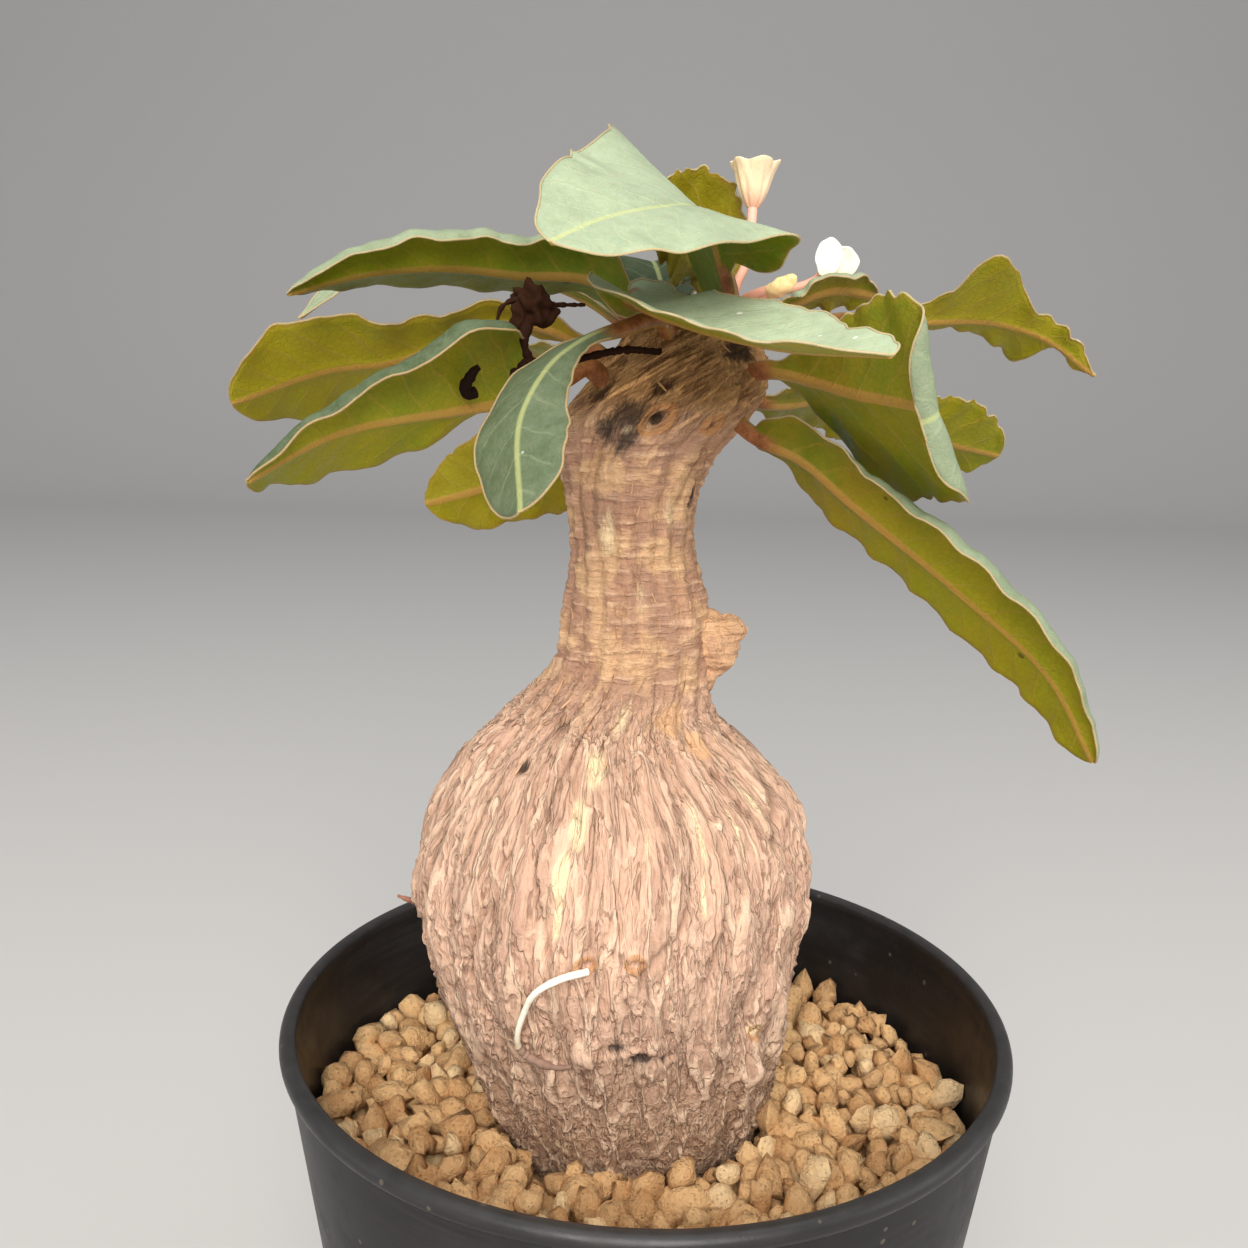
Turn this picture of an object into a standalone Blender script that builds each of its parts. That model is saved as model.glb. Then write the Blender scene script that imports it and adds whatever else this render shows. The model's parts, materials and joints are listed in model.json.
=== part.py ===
"""Bottle-stemmed euphorbia in a plain black nursery pot.

Sizes are in millimetres and become metres where a mesh is made. The origin is the middle
of the pot's underside, +Z is up, and -Y is the side that the plant is mostly seen from.
Bearings are in degrees about +Z: 0 is +X, 90 is away to +Y, 270 is the front.
"""

from dataclasses import dataclass
from math import acos, atan2, ceil, cos, degrees, exp, log, pi, radians, sin, sqrt
from random import Random

import bmesh
import bpy
import numpy as np
from mathutils import Euler, Matrix, Vector

MM = 0.001
MERGE = 0.0001
SEED = 11

# Pot: a 12 cm nursery pot with a rolled rim
POT_HEIGHT = 110.0
RIM_RADIUS = 60.0
RIM_MOUTH = 57.3
BEAD_HEIGHT = 3.2
WALL_SET_IN = 1.2
FOOT_RADIUS = 44.0
POT_WALL = 1.5
POT_FLOOR = 2.4
FOOT_WIDTH = 4.5
BOSS_RADIUS = 11.0
RECESS = 1.5
DRAIN_HOLES = 6
DRAIN_RING = 25.0
DRAIN_RADIUS = 4.0
POT_SIDES = 46

# Soil: pumice granules over a plug that fills the pot
SOIL_GAP = 0.45
SOIL_TOP = 91.5
SOIL_CROWN = 1.6
SOIL_SIDES = 40
GRAIN_SPACING = 9.4
GRAIN_RADIUS = (4.3, 5.8)
GRAIN_SQUASH = (0.72, 1.0)
GRAIN_RISE = (0.3, 1.5)
HOLE_CLEARANCE = 0.75
HOLE_TOP = 112.0
HOLE_SIDES = 32

# Caudex: height, sideways place of its middle, and radius, from the buried tip to the crown
CAUDEX_FORM = (
    (60.0, -1.0, 0.0),
    (61.0, -1.0, 4.0),
    (66.0, -1.2, 8.5),
    (76.0, -1.8, 15.0),
    (86.0, -2.5, 20.5),
    (96.0, -3.0, 23.8),
    (108.0, -4.2, 26.9),
    (120.0, -5.5, 29.8),
    (131.0, -6.2, 31.3),
    (141.0, -5.9, 30.3),
    (149.0, -5.8, 27.0),
    (155.0, -6.6, 21.6),
    (161.0, -6.4, 15.6),
    (167.0, -4.0, 12.3),
    (177.0, -3.1, 11.1),
    (188.0, -3.9, 9.1),
    (197.0, -4.2, 10.0),
    (203.0, -3.3, 12.2),
    (208.0, -0.5, 13.5),
    (213.0, 2.7, 12.7),
    (217.0, 4.0, 11.0),
    (221.0, 4.6, 8.0),
    (223.6, 5.0, 4.4),
    (224.6, 5.0, 0.0),
)
CAUDEX_SEGMENTS = 46
CAUDEX_RINGS = 38
END_CROWDING = 0.35
RIDGES = 19
RIDGE_DEPTH = 0.75
NECK_RIDGE_DEPTH = 0.3

# Marks on the bark: bearing, height, how far they stand out, and their half width and height
BARK_MARKS = (
    (183, 129, 1.6, 3.0, 2.6),
    (318, 109, 1.9, 2.6, 2.6),
    (262, 116, 1.1, 2.2, 1.8),
    (275, 116, 1.0, 2.0, 1.8),
    (236, 202, -2.2, 3.2, 5.0),
    (272, 204, 1.3, 2.4, 2.4),
    (305, 203, 0.8, 2.0, 1.6),
    (196, 156, 2.2, 4.0, 3.0),
    (272, 171, 0.6, 2.4, 3.0),
)

# Stub of a dead branch on the neck
STUB_BEARING = 352.0
STUB_HEIGHT = 172.5
STUB_REACH = 6.6
STUB_RADII = (4.4, 3.6, 5.2)

# Leaves and stalks
SEAT_GAP = 0.7
SEAT_RISE = 2.6
BLADE_THICKNESS = 0.8
RIB_THICKNESS = 2.0
STALK_HALF_WIDTH = 1.3
LEAF_STATIONS = 16
LEAF_COLUMNS = (-1.0, -0.72, 0.0, 0.72, 1.0)
LEAF_TIP = 0.985
FOLD_STEPS = 8
ROLLED_STATIONS = 6
ROLL_LIMIT = 135.0


# Hook under the lower left leaf: radius, and places along and across the blade
HOOK_RADIUS = 0.75
HOOK_GAP = 1.7
HOOK_PLACES = (
    (0.448, 0.41),
    (0.457, 0.38),
    (0.467, 0.31),
    (0.475, 0.25),
    (0.462, 0.18),
    (0.448, 0.19),
)


@dataclass
class Leaf:
    """One leaf: where it sits, the route of its rib and the form of its blade.

    seat is the bearing and height of its base on the crown, and route the points that the
    rib passes, the last one being the tip. Left and right are as seen looking out along the
    heading. roll lifts the left side, at the base and at the tip. fold and curl bend the
    left and the right half upwards, curl mostly near the edge. stalk is the share of the
    rib that has no blade. A lobe is a side (1 left, -1 right), a place along the rib, a
    reach and a spread. rolled is the share from which the end rolls under, and the radius
    of that roll.
    """

    seat: tuple
    route: tuple
    heading: float
    width: float
    roll: tuple = (0, 0)
    fold: tuple = (5, 5)
    curl: tuple = (0, 0)
    widest: float = 0.62
    fullness: float = 0.75
    wave: float = 1.0
    waves: float = 6
    shift: float = 0.0
    teeth: float = 0.4
    stalk: float = 0.05
    lobes: tuple = ()
    rolled: tuple = ()


LEAVES = {
    "leaf_crest": Leaf(
        seat=(300, 222.2),
        route=((8, -7, 230), (5, -13, 235.5), (-2, -26, 235), (-9, -33, 232.6), (-14.8, -40, 229.2)),
        heading=215,
        width=28,
        roll=(-15, -35),
        widest=0.5,
        fullness=0.5,
        wave=0.6,
        teeth=0.2,
        stalk=0.14,
        lobes=(
            (-1, 0.27, 17, 0.1),
            (-1, 0.46, 3.5, 0.2),
            (-1, 0.9, -2, 0.08),
            (1, 0.33, 3, 0.08),
            (1, 0.48, 3, 0.07),
        ),
    ),
    "leaf_front": Leaf(
        seat=(215, 221.6),
        route=(
            (-5, -12, 224.5),
            (-3, -20, 222.8),
            (5, -27.5, 219.8),
            (12.5, -35, 217.9),
            (24.5, -51, 216.8),
        ),
        heading=345,
        width=24,
        fold=(28, 4),
        widest=0.52,
        fullness=0.55,
        stalk=0.1,
        wave=0.4,
        lobes=((1, 0.8, -3, 0.12),),
    ),
    "leaf_hanging_front": Leaf(
        seat=(246, 219.4),
        route=(
            (-7, -18, 219.8),
            (-12, -25, 217.8),
            (-15.5, -32, 214.5),
            (-18.2, -39, 208.6),
            (-17.4, -49, 198),
        ),
        heading=222,
        width=17,
        roll=(-20, 0),
        fold=(-15, -15),
        widest=0.62,
        stalk=0.3,
        lobes=((1, 0.62, -3, 0.25),),
    ),
    "leaf_upper_left": Leaf(
        seat=(180, 220.5),
        route=((-9, 2, 226.5), (-23, 0, 228), (-32, -3, 228.5), (-44, -7, 227), (-54, -11, 223.8)),
        heading=185,
        width=21,
        roll=(55, 42),
        fold=(5, 32),
        curl=(-120, 0),
        widest=0.5,
        fullness=0.6,
        lobes=((-1, 0.5, -2.5, 0.4), (-1, 0.88, -1.5, 0.12)),
    ),
    "leaf_left": Leaf(
        seat=(168, 215.5),
        route=((-25, 0, 221), (-33, -2, 218), (-40, -4, 215), (-49, -6, 213.6), (-63, -10, 208.4)),
        heading=190,
        width=26,
        roll=(30, 40),
        widest=0.68,
        fullness=0.55,
        lobes=((-1, 0.45, -5, 0.18), (1, 0.52, -4.6, 0.25)),
    ),
    "leaf_lower_left": Leaf(
        seat=(205, 213),
        route=((-14, -8, 213), (-21, -15, 210), (-29, -22, 208.5), (-43, -31, 205.5), (-52, -40, 200)),
        heading=215,
        width=22,
        roll=(62, 45),
        fold=(12, 12),
        curl=(-110, 0),
        widest=0.52,
        fullness=0.5,
        stalk=0.16,
        lobes=((-1, 0.33, -8.5, 0.2), (-1, 0.77, 1.3, 0.08), (1, 0.465, 8.8, 0.135), (1, 0.85, -2, 0.15)),
    ),
    "leaf_behind_neck": Leaf(
        seat=(122, 208),
        route=((-15, 20, 200), (-31, 26, 193), (-41, 28, 190)),
        heading=150,
        width=22,
        roll=(50, 60),
        fullness=0.6,
        lobes=((-1, 0.68, -2.4, 0.15), (1, 0.75, -1.5, 0.3)),
    ),
    "leaf_long_right": Leaf(
        seat=(340, 207),
        route=((20, -9, 202.5), (28, -14, 196), (42, -22, 185), (54, -28, 174), (60, -30, 163)),
        heading=335,
        width=22,
        roll=(-50, -50),
        curl=(0, -90),
        widest=0.5,
        fullness=0.4,
        wave=0.7,
        waves=9,
        teeth=0.3,
        lobes=((1, 0.45, -3.2, 0.22), (1, 0.12, -3, 0.06), (-1, 0.55, 2.5, 0.2), (-1, 0.9, -2, 0.1)),
    ),
    "leaf_fan_right": Leaf(
        seat=(322, 214.5),
        route=((20, -14, 213.8), (25.2, -21, 212.2), (30.4, -29, 211.2), (35.2, -38.6, 210)),
        heading=320,
        width=30,
        roll=(-55, -60),
        widest=0.8,
        fullness=0.35,
        lobes=((-1, 0.4, 1.5, 0.12), (1, 0.49, 8, 0.18)),
        rolled=(0.9, 1.5),
    ),
    "leaf_curly_right": Leaf(
        seat=(12, 218.5),
        route=((31, 10, 223), (40, 12, 223), (55, 14, 223), (62, 14, 221), (71, 14, 215)),
        heading=5,
        width=16,
        roll=(-35, -35),
        widest=0.5,
        fullness=1.1,
        waves=9,
        teeth=0.6,
        stalk=0.3,
        lobes=(
            (-1, 0.63, 6.2, 0.065),
            (-1, 0.47, -2.2, 0.06),
            (-1, 0.79, -2.3, 0.07),
            (1, 0.6, -5.2, 0.13),
            (1, 0.8, 3.2, 0.035),
            (1, 0.88, -3.5, 0.04),
        ),
    ),
    "leaf_lower_right": Leaf(
        seat=(30, 211),
        route=((32, 18, 210), (47, 24, 204), (60, 26, 201)),
        heading=25,
        width=24,
        roll=(-30, -40),
        fullness=0.5,
        waves=9,
        teeth=0.7,
        lobes=((-1, 0.6, -4, 0.15), (1, 0.7, -2, 0.2)),
    ),
    "leaf_upright": Leaf(
        seat=(70, 222),
        route=((8, 8, 230), (5, 11, 235.5), (-3, 13, 239.5)),
        heading=190,
        width=20,
        roll=(60, 40),
        widest=0.68,
        fullness=0.6,
        waves=8,
        teeth=0.7,
        lobes=((1, 0.4, -2, 0.15),),
    ),
    "leaf_far_left": Leaf(
        seat=(138, 218.5),
        route=((-17, 20, 227.5), (-36, 26, 230.5), (-52, 26, 228.5), (-61, 22, 221.5)),
        heading=160,
        width=18,
        roll=(20, -40),
    ),
    "leaf_young_right": Leaf(
        seat=(350, 220.5),
        route=((19, -2, 224.5), (25, -2.5, 226.6), (32, -1, 226)),
        heading=15,
        width=11,
        roll=(-30, -40),
        waves=4,
        teeth=0.6,
    ),
    "leaf_back_right": Leaf(
        seat=(55, 215),
        route=((20, 24, 221), (32, 42, 220), (42, 60, 211)),
        heading=60,
        width=24,
        roll=(-10, 5),
        fold=(8, 8),
        waves=7,
    ),
    "leaf_back": Leaf(
        seat=(92, 217.5),
        route=((1, 18, 225), (-1, 26, 231.5), (-2, 41, 232), (-3, 60, 224)),
        heading=93,
        width=26,
        roll=(5, -8),
        fold=(8, 8),
        waves=7,
    ),
    "leaf_back_left": Leaf(
        seat=(130, 213),
        route=((-18, 30, 216), (-29, 44, 215), (-42, 58, 206)),
        heading=132,
        width=23,
        roll=(8, 12),
        fold=(8, 8),
        waves=7,
    ),
}


def smooth(at, knots, values):
    """The value at one place on a smooth curve through the values at the knots."""
    values = np.asarray(values, float)
    slopes = np.gradient(values, knots, axis=0)
    k = int(np.clip(np.searchsorted(knots, at) - 1, 0, len(knots) - 2))
    span = knots[k + 1] - knots[k]
    u = (at - knots[k]) / span
    start = (1 + 2 * u) * (1 - u) ** 2 * values[k] + u * (1 - u) ** 2 * span * slopes[k]
    end = u * u * (3 - 2 * u) * values[k + 1] - u * u * (1 - u) * span * slopes[k + 1]
    return start + end


def unit(vector):
    return vector / np.linalg.norm(vector)


def outward(bearing):
    """The level direction of a bearing."""
    return np.array([cos(radians(bearing)), sin(radians(bearing)), 0.0])


# Scene, collections and materials


def clear_scene():
    for obj in list(bpy.data.objects):
        bpy.data.objects.remove(obj, do_unlink=True)


def new_collection(name):
    collection = bpy.data.collections.new(name)
    bpy.context.scene.collection.children.link(collection)
    return collection


def plain_material(name, colour, roughness):
    material = bpy.data.materials.new(name)
    material.use_nodes = True
    shader = material.node_tree.nodes["Principled BSDF"]
    shader.inputs["Base Color"].default_value = (*colour, 1.0)
    shader.inputs["Roughness"].default_value = roughness
    shader.inputs["Metallic"].default_value = 0.0
    return material


def new_object(name, mesh, collection, material=None):
    obj = bpy.data.objects.new(name, mesh)
    collection.objects.link(obj)
    if material:
        obj.data.materials.clear()
        obj.data.materials.append(material)
    return obj


def as_cutter(obj):
    obj.hide_render = True
    obj.display_type = "WIRE"
    return obj


def smooth_shading(mesh):
    mesh.shade_smooth()
    mesh.set_sharp_from_angle(angle=radians(40))


def settled_mesh(obj):
    """The object's mesh with its modifiers applied and its loose joins welded."""
    depsgraph = bpy.context.evaluated_depsgraph_get()
    mesh = bpy.data.meshes.new_from_object(obj.evaluated_get(depsgraph))
    work = bmesh.new()
    work.from_mesh(mesh)
    bmesh.ops.remove_doubles(work, verts=work.verts, dist=0.01 * MM)
    work.to_mesh(mesh)
    work.free()
    return mesh


def settle(obj):
    """Replace an object by a plain mesh object in the same place."""
    mesh = settled_mesh(obj)
    name, place, collection = obj.name, obj.matrix_world.copy(), obj.users_collection[0]
    material = obj.data.materials[0] if obj.data.materials else None
    bpy.data.objects.remove(obj, do_unlink=True)
    plain = new_object(name, mesh, collection, material)
    plain.matrix_world = place
    return plain


def join_by_union(obj, pieces, solver="EXACT"):
    """Fuse the pieces of a collection into an object, and remove them."""
    joint = obj.modifiers.new("Joined", "BOOLEAN")
    joint.operation = "UNION"
    joint.operand_type = "COLLECTION"
    joint.collection = pieces
    joint.solver = solver
    fused = settle(obj)
    for piece in list(pieces.objects):
        bpy.data.objects.remove(piece, do_unlink=True)
    bpy.data.collections.remove(pieces)
    return fused


# Turned shapes and tubes


def turned(name, profile, sides, collection, material):
    """A solid turned about +Z from a profile of radius and height, down its outer side."""
    mesh = bpy.data.meshes.new(name)
    points = [(radius * MM, 0.0, height * MM) for radius, height in profile]
    edges = [(i, i + 1) for i in range(len(points) - 1)]
    mesh.from_pydata(points, edges, [])
    obj = new_object(name, mesh, collection, material)
    screw = obj.modifiers.new("Turned", "SCREW")
    screw.steps = sides
    screw.render_steps = sides
    screw.use_merge_vertices = True
    screw.merge_threshold = 0.00001
    screw.use_smooth_shade = True
    return obj


def tube(name, points, radius, collection, material, taper=None):
    """A round rod along a route, with closed ends."""
    curve = bpy.data.curves.new(name, "CURVE")
    curve.dimensions = "3D"
    curve.bevel_depth = radius * MM
    curve.bevel_resolution = 2
    curve.use_fill_caps = True
    spline = curve.splines.new("POLY")
    spline.points.add(len(points) - 1)
    for k, point in enumerate(points):
        spline.points[k].co = (*(np.asarray(point, float) * MM), 1.0)
        spline.points[k].radius = taper[k] if taper else 1.0
    obj = bpy.data.objects.new(name, curve)
    collection.objects.link(obj)
    curve.materials.append(material)
    return settle(obj)


# Caudex

FORM_HEIGHTS = [row[0] for row in CAUDEX_FORM]
FORM_SHAPE = [row[1:] for row in CAUDEX_FORM]


def caudex_section(height):
    """The sideways place and the radius of the caudex at a height."""
    middle, radius = smooth(height, FORM_HEIGHTS, FORM_SHAPE)
    return middle, max(radius, 0.0)


def ease(value, low, high):
    """0 below low, 1 above high and smooth between."""
    u = min(max((value - low) / (high - low), 0.0), 1.0)
    return u * u * (3 - 2 * u)


def bark_relief(bearing, height):
    """How far the bark stands out from the plain form."""
    turn = radians(bearing)
    body = ease(height, 84, 100) * (1 - ease(height, 152, 170))
    neck = ease(height, 152, 170) * (1 - ease(height, 214, 222))
    drift = 1.4 * sin(height / 11 + 2 * turn) + 0.9 * sin(height / 6 - 3 * turn)
    ridge = cos(RIDGES * turn + drift) + 0.5 * cos((RIDGES - 8) * turn - 1.6 * drift)
    relief = (RIDGE_DEPTH * body + NECK_RIDGE_DEPTH * neck) * ridge
    radius = caudex_section(height)[1]
    for mark_bearing, mark_height, rise, half_width, half_height in BARK_MARKS:
        away = (bearing - mark_bearing + 180) % 360 - 180
        across = radians(away) * radius / half_width
        along = (height - mark_height) / half_height
        relief += rise * exp(-(across**2) - along**2)
    return relief


def caudex_point(bearing, height, clearance=0.0):
    """A point on the bark, or a clearance out from it."""
    middle, radius = caudex_section(height)
    shrink = min(radius / 6.0, 1.0)
    reach = radius + bark_relief(bearing, height) * shrink + clearance
    return np.array([middle, 0.0, height]) + outward(bearing) * reach


def caudex_normal(bearing, height):
    """The direction straight out of the plain form."""
    step = 0.5
    lower = caudex_section(height - step)
    upper = caudex_section(height + step)
    rise = np.array([upper[0] - lower[0], 0.0, 2 * step])
    rise += outward(bearing) * (upper[1] - lower[1])
    sideways = outward(bearing + 90)
    return unit(np.cross(sideways, rise))


def form_height(share):
    """The height of a ring, with the rings a little closer at both ends."""
    even = share
    crowded = (1 - cos(pi * share)) / 2
    bottom, top = FORM_HEIGHTS[0], FORM_HEIGHTS[-1]
    return bottom + (top - bottom) * (even + END_CROWDING * (crowded - even))


def shaped_sphere(name, segments, rings, place):
    """A sphere whose points move to place(bearing, share of the way up)."""
    work = bmesh.new()
    bmesh.ops.create_uvsphere(work, u_segments=segments, v_segments=rings, radius=1.0)
    for vertex in work.verts:
        share = acos(min(max(-vertex.co.z, -1.0), 1.0)) / pi
        bearing = degrees(atan2(vertex.co.y, vertex.co.x)) % 360
        vertex.co = Vector(place(bearing, share) * MM)
    mesh = bpy.data.meshes.new(name)
    bmesh.ops.recalc_face_normals(work, faces=work.faces)
    work.to_mesh(mesh)
    work.free()
    return mesh


def lump(name, place, radii, turn, collection, subdivisions=1):
    """A small rounded piece with its own three radii."""
    work = bmesh.new()
    bmesh.ops.create_icosphere(work, subdivisions=subdivisions, radius=1.0)
    mesh = bpy.data.meshes.new(name)
    size = Matrix.Diagonal((*[r * MM for r in radii], 1.0))
    spin = Euler([radians(a) for a in turn]).to_matrix().to_4x4()
    shift = Matrix.Translation(Vector(np.asarray(place, float) * MM))
    bmesh.ops.transform(work, matrix=shift @ spin @ size, verts=work.verts)
    work.to_mesh(mesh)
    work.free()
    return new_object(name, mesh, collection)


def make_caudex(collection, material):
    def place(bearing, share):
        return caudex_point(bearing, form_height(share))

    mesh = shaped_sphere("caudex", CAUDEX_SEGMENTS, CAUDEX_RINGS, place)
    caudex = new_object("caudex", mesh, collection, material)
    pieces = new_collection("caudex_pieces")
    root = caudex_point(STUB_BEARING, STUB_HEIGHT, STUB_REACH - STUB_RADII[0] - 1.5)
    lump("stub", root, STUB_RADII, (0, -25, STUB_BEARING), pieces, 2)
    burl = caudex_point(STUB_BEARING, STUB_HEIGHT - 5.5, -0.6)
    lump("burl", burl, (2.2, 2.4, 3.6), (0, 10, STUB_BEARING), pieces)
    caudex = join_by_union(caudex, pieces)
    smooth_shading(caudex.data)
    return caudex


# Pot


def wall_radius(height):
    """The outside radius of the pot's wall at a height."""
    top = RIM_RADIUS - WALL_SET_IN
    return FOOT_RADIUS + (top - FOOT_RADIUS) * height / (POT_HEIGHT - BEAD_HEIGHT)


def make_pot(collection, cutters, material):
    bead = BEAD_HEIGHT / 2
    bead_middle = POT_HEIGHT - bead
    inner_top = wall_radius(POT_HEIGHT - BEAD_HEIGHT) - POT_WALL
    profile = [
        (0.0, POT_FLOOR + RECESS),
        (wall_radius(POT_FLOOR + RECESS) - POT_WALL - 1.0, POT_FLOOR + RECESS),
        (wall_radius(POT_FLOOR + RECESS + 1.0) - POT_WALL, POT_FLOOR + RECESS + 1.0),
        (inner_top, POT_HEIGHT - BEAD_HEIGHT),
        (RIM_MOUTH, POT_HEIGHT - 0.5),
        (RIM_MOUTH + 0.5, POT_HEIGHT),
    ]
    for k in range(5):
        turn = radians(90 - 36 * k)
        reach = RIM_RADIUS - bead + bead * cos(turn)
        profile.append((reach, bead_middle + bead * sin(turn)))
    profile += [
        (wall_radius(POT_HEIGHT - BEAD_HEIGHT), POT_HEIGHT - BEAD_HEIGHT),
        (FOOT_RADIUS, 1.0),
        (FOOT_RADIUS - 0.8, 0.0),
        (FOOT_RADIUS - FOOT_WIDTH, 0.0),
        (FOOT_RADIUS - FOOT_WIDTH - 1.0, RECESS),
        (BOSS_RADIUS + 1.0, RECESS),
        (BOSS_RADIUS, 0.0),
        (0.0, 0.0),
    ]
    pot = settle(turned("pot", profile, POT_SIDES, collection, material))
    for k in range(DRAIN_HOLES):
        turn = outward(360.0 * k / DRAIN_HOLES) * DRAIN_RING * MM
        work = bmesh.new()
        bmesh.ops.create_cone(
            work,
            cap_ends=True,
            segments=12,
            radius1=DRAIN_RADIUS * MM,
            radius2=DRAIN_RADIUS * MM,
            depth=20 * MM,
        )
        mesh = bpy.data.meshes.new("drain")
        work.to_mesh(mesh)
        work.free()
        drain = as_cutter(new_object(f"drain_{k}", mesh, cutters))
        drain.location = turn
        cut = pot.modifiers.new(f"Drain {k}", "BOOLEAN")
        cut.operation = "DIFFERENCE"
        cut.object = drain
    return pot


# Soil


def soil_height(radius):
    """The soil's surface, a little higher round the caudex."""
    return SOIL_TOP + SOIL_CROWN * (1 - radius / RIM_RADIUS)


def grain_places(random):
    """Places in rows over the surface, each nudged at random, clear of wall and caudex."""
    reach = wall_radius(SOIL_TOP) - POT_WALL - SOIL_GAP - GRAIN_RADIUS[1]
    middle, inner = caudex_section(SOIL_TOP)
    row_step = GRAIN_SPACING * sqrt(3) / 2
    rows = ceil(reach / row_step)
    for row in range(-rows, rows + 1):
        for column in range(-rows - 1, rows + 2):
            x = (column + 0.5 * (row % 2)) * GRAIN_SPACING + random.uniform(-1.3, 1.3)
            y = row * row_step + random.uniform(-1.3, 1.3)
            if sqrt(x * x + y * y) < reach and sqrt((x - middle) ** 2 + y * y) > inner:
                yield x, y


def make_soil(collection, cutters, material):
    floor = POT_FLOOR + RECESS + SOIL_GAP
    inset = POT_WALL + SOIL_GAP
    profile = [
        (0.0, soil_height(0.0)),
        (wall_radius(SOIL_TOP) - inset, soil_height(RIM_RADIUS)),
        (wall_radius(floor + 2.0) - inset, floor + 2.0),
        (wall_radius(floor) - inset - 1.5, floor),
        (0.0, floor),
    ]
    soil = settle(turned("soil", profile, SOIL_SIDES, collection, material))
    random = Random(SEED)
    grains = new_collection("grains")
    for k, (x, y) in enumerate(grain_places(random)):
        size = random.uniform(*GRAIN_RADIUS)
        radii = [size * random.uniform(*GRAIN_SQUASH) for _ in range(3)]
        turn = [random.uniform(0, 180) for _ in range(3)]
        rise = random.uniform(*GRAIN_RISE)
        lump(f"grain_{k}", (x, y, soil_height(sqrt(x * x + y * y)) + rise - 1.2), radii, turn, grains)
    soil = join_by_union(soil, grains)

    hole_floor = FORM_HEIGHTS[0] - SOIL_GAP
    hole = [(0.0, HOLE_TOP)]
    for height in (HOLE_TOP, 96, 86, 76, 70, 66, 63, 61):
        clearance = HOLE_CLEARANCE + RIDGE_DEPTH * 1.5 * ease(height, 80, 96)
        hole.append((caudex_section(height)[1] + clearance, height))
    hole += [(5.0, hole_floor), (0.0, hole_floor)]
    hole_form = settle(turned("planting_hole", hole, HOLE_SIDES, cutters, None))
    lean_to_axis(hole_form.data)
    as_cutter(hole_form)
    cut = soil.modifiers.new("Planting hole", "BOOLEAN")
    cut.operation = "DIFFERENCE"
    cut.object = hole_form
    return soil


def lean_to_axis(mesh):
    """Shift each level of a turned mesh sideways so that it follows the caudex."""
    for vertex in mesh.vertices:
        height = vertex.co.z / MM
        vertex.co.x += caudex_section(max(height, FORM_HEIGHTS[0]))[0] * MM


# Leaves


def leaf_route(leaf):
    """The rib's points, from the seat straight out of the bark and on to the tip."""
    bearing, height = leaf.seat
    normal = caudex_normal(bearing, height)
    seat = caudex_point(bearing, height) + normal * SEAT_GAP
    points = np.array([seat, seat + normal * SEAT_RISE, *leaf.route], float)
    lengths = np.linalg.norm(np.diff(points, axis=0), axis=1)
    knots = np.concatenate([[0.0], np.cumsum(lengths)])
    return knots / knots[-1], points


def half_width(leaf, along, side):
    """How far the blade reaches from the rib, before it is bent."""
    skew = log(0.5) / log(leaf.widest)
    blade = min(max((along - leaf.stalk) / (1 - leaf.stalk), 0.0), 1.0)
    swell = max(sin(pi * blade**skew), 0.0) ** leaf.fullness
    reach = leaf.width / 2 * swell
    teeth = leaf.teeth * sin(4 * pi * leaf.waves * along + side) * min(reach / 4, 1.0)
    lobes = 0.0
    for lobe_side, place, size, spread in leaf.lobes:
        if lobe_side == side:
            lobes += size * exp(-(((along - place) / spread) ** 2))
    return max(reach + teeth + lobes, STALK_HALF_WIDTH * (1 - ease(along, 0.7, 1.0)) + 0.25)


def rib_frame(leaf, knots, points, along):
    """The rib's point, its direction, the blade's left and its upper side at one place."""
    here = smooth(along, knots, points)
    step = 0.02
    ahead = smooth(min(along + step, 1.0), knots, points)
    behind = smooth(max(along - step, 0.0), knots, points)
    forward = unit(ahead - behind)
    left = outward(leaf.heading + 90)
    left = unit(left - left.dot(forward) * forward)
    up = np.cross(forward, left)
    roll = radians(leaf.roll[0] + (leaf.roll[1] - leaf.roll[0]) * along)
    left, up = cos(roll) * left + sin(roll) * up, cos(roll) * up - sin(roll) * left
    return here, forward, left, up


def rolled_frame(leaf, knots, points, along):
    """The frame where the leaf's end rolls under, about the line across the blade."""
    start, radius = leaf.rolled
    here, forward, left, up = rib_frame(leaf, knots, points, start)
    beyond = (along - start) * np.linalg.norm(points[-1] - here) / (1 - start)
    turn = min(beyond / radius, radians(ROLL_LIMIT))
    here = here + radius * (sin(turn) * forward - (1 - cos(turn)) * up)
    onward = cos(turn) * forward - sin(turn) * up
    here = here + (beyond - turn * radius) * onward
    return here, onward, left, cos(turn) * up + sin(turn) * forward


def leaf_point(leaf, knots, points, along, across):
    """A point of the blade: along 0 at the base to 1 at the tip, across -1 right to 1 left."""
    if leaf.rolled and along > leaf.rolled[0]:
        here, _, left, up = rolled_frame(leaf, knots, points, along)
    else:
        here, _, left, up = rib_frame(leaf, knots, points, along)

    side = 1 if across >= 0 else -1
    half = 0 if side == 1 else 1
    share = abs(across)
    reach = half_width(leaf, along, side)
    curl = leaf.curl[half] * ease(along, 0.0, 0.45)
    out = rise = 0.0
    for k in range(FOLD_STEPS):
        place = (k + 0.5) / FOLD_STEPS * share
        angle = radians(leaf.fold[half] + curl * place**3)
        out += cos(angle) * share / FOLD_STEPS
        rise += sin(angle) * share / FOLD_STEPS
    phase = 2 * pi * leaf.waves * along + side + leaf.shift
    wave = leaf.wave * sin(phase) * share**2 * min(reach / 5, 1.0)
    return here + left * side * out * reach + up * (rise * reach + wave)


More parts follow.
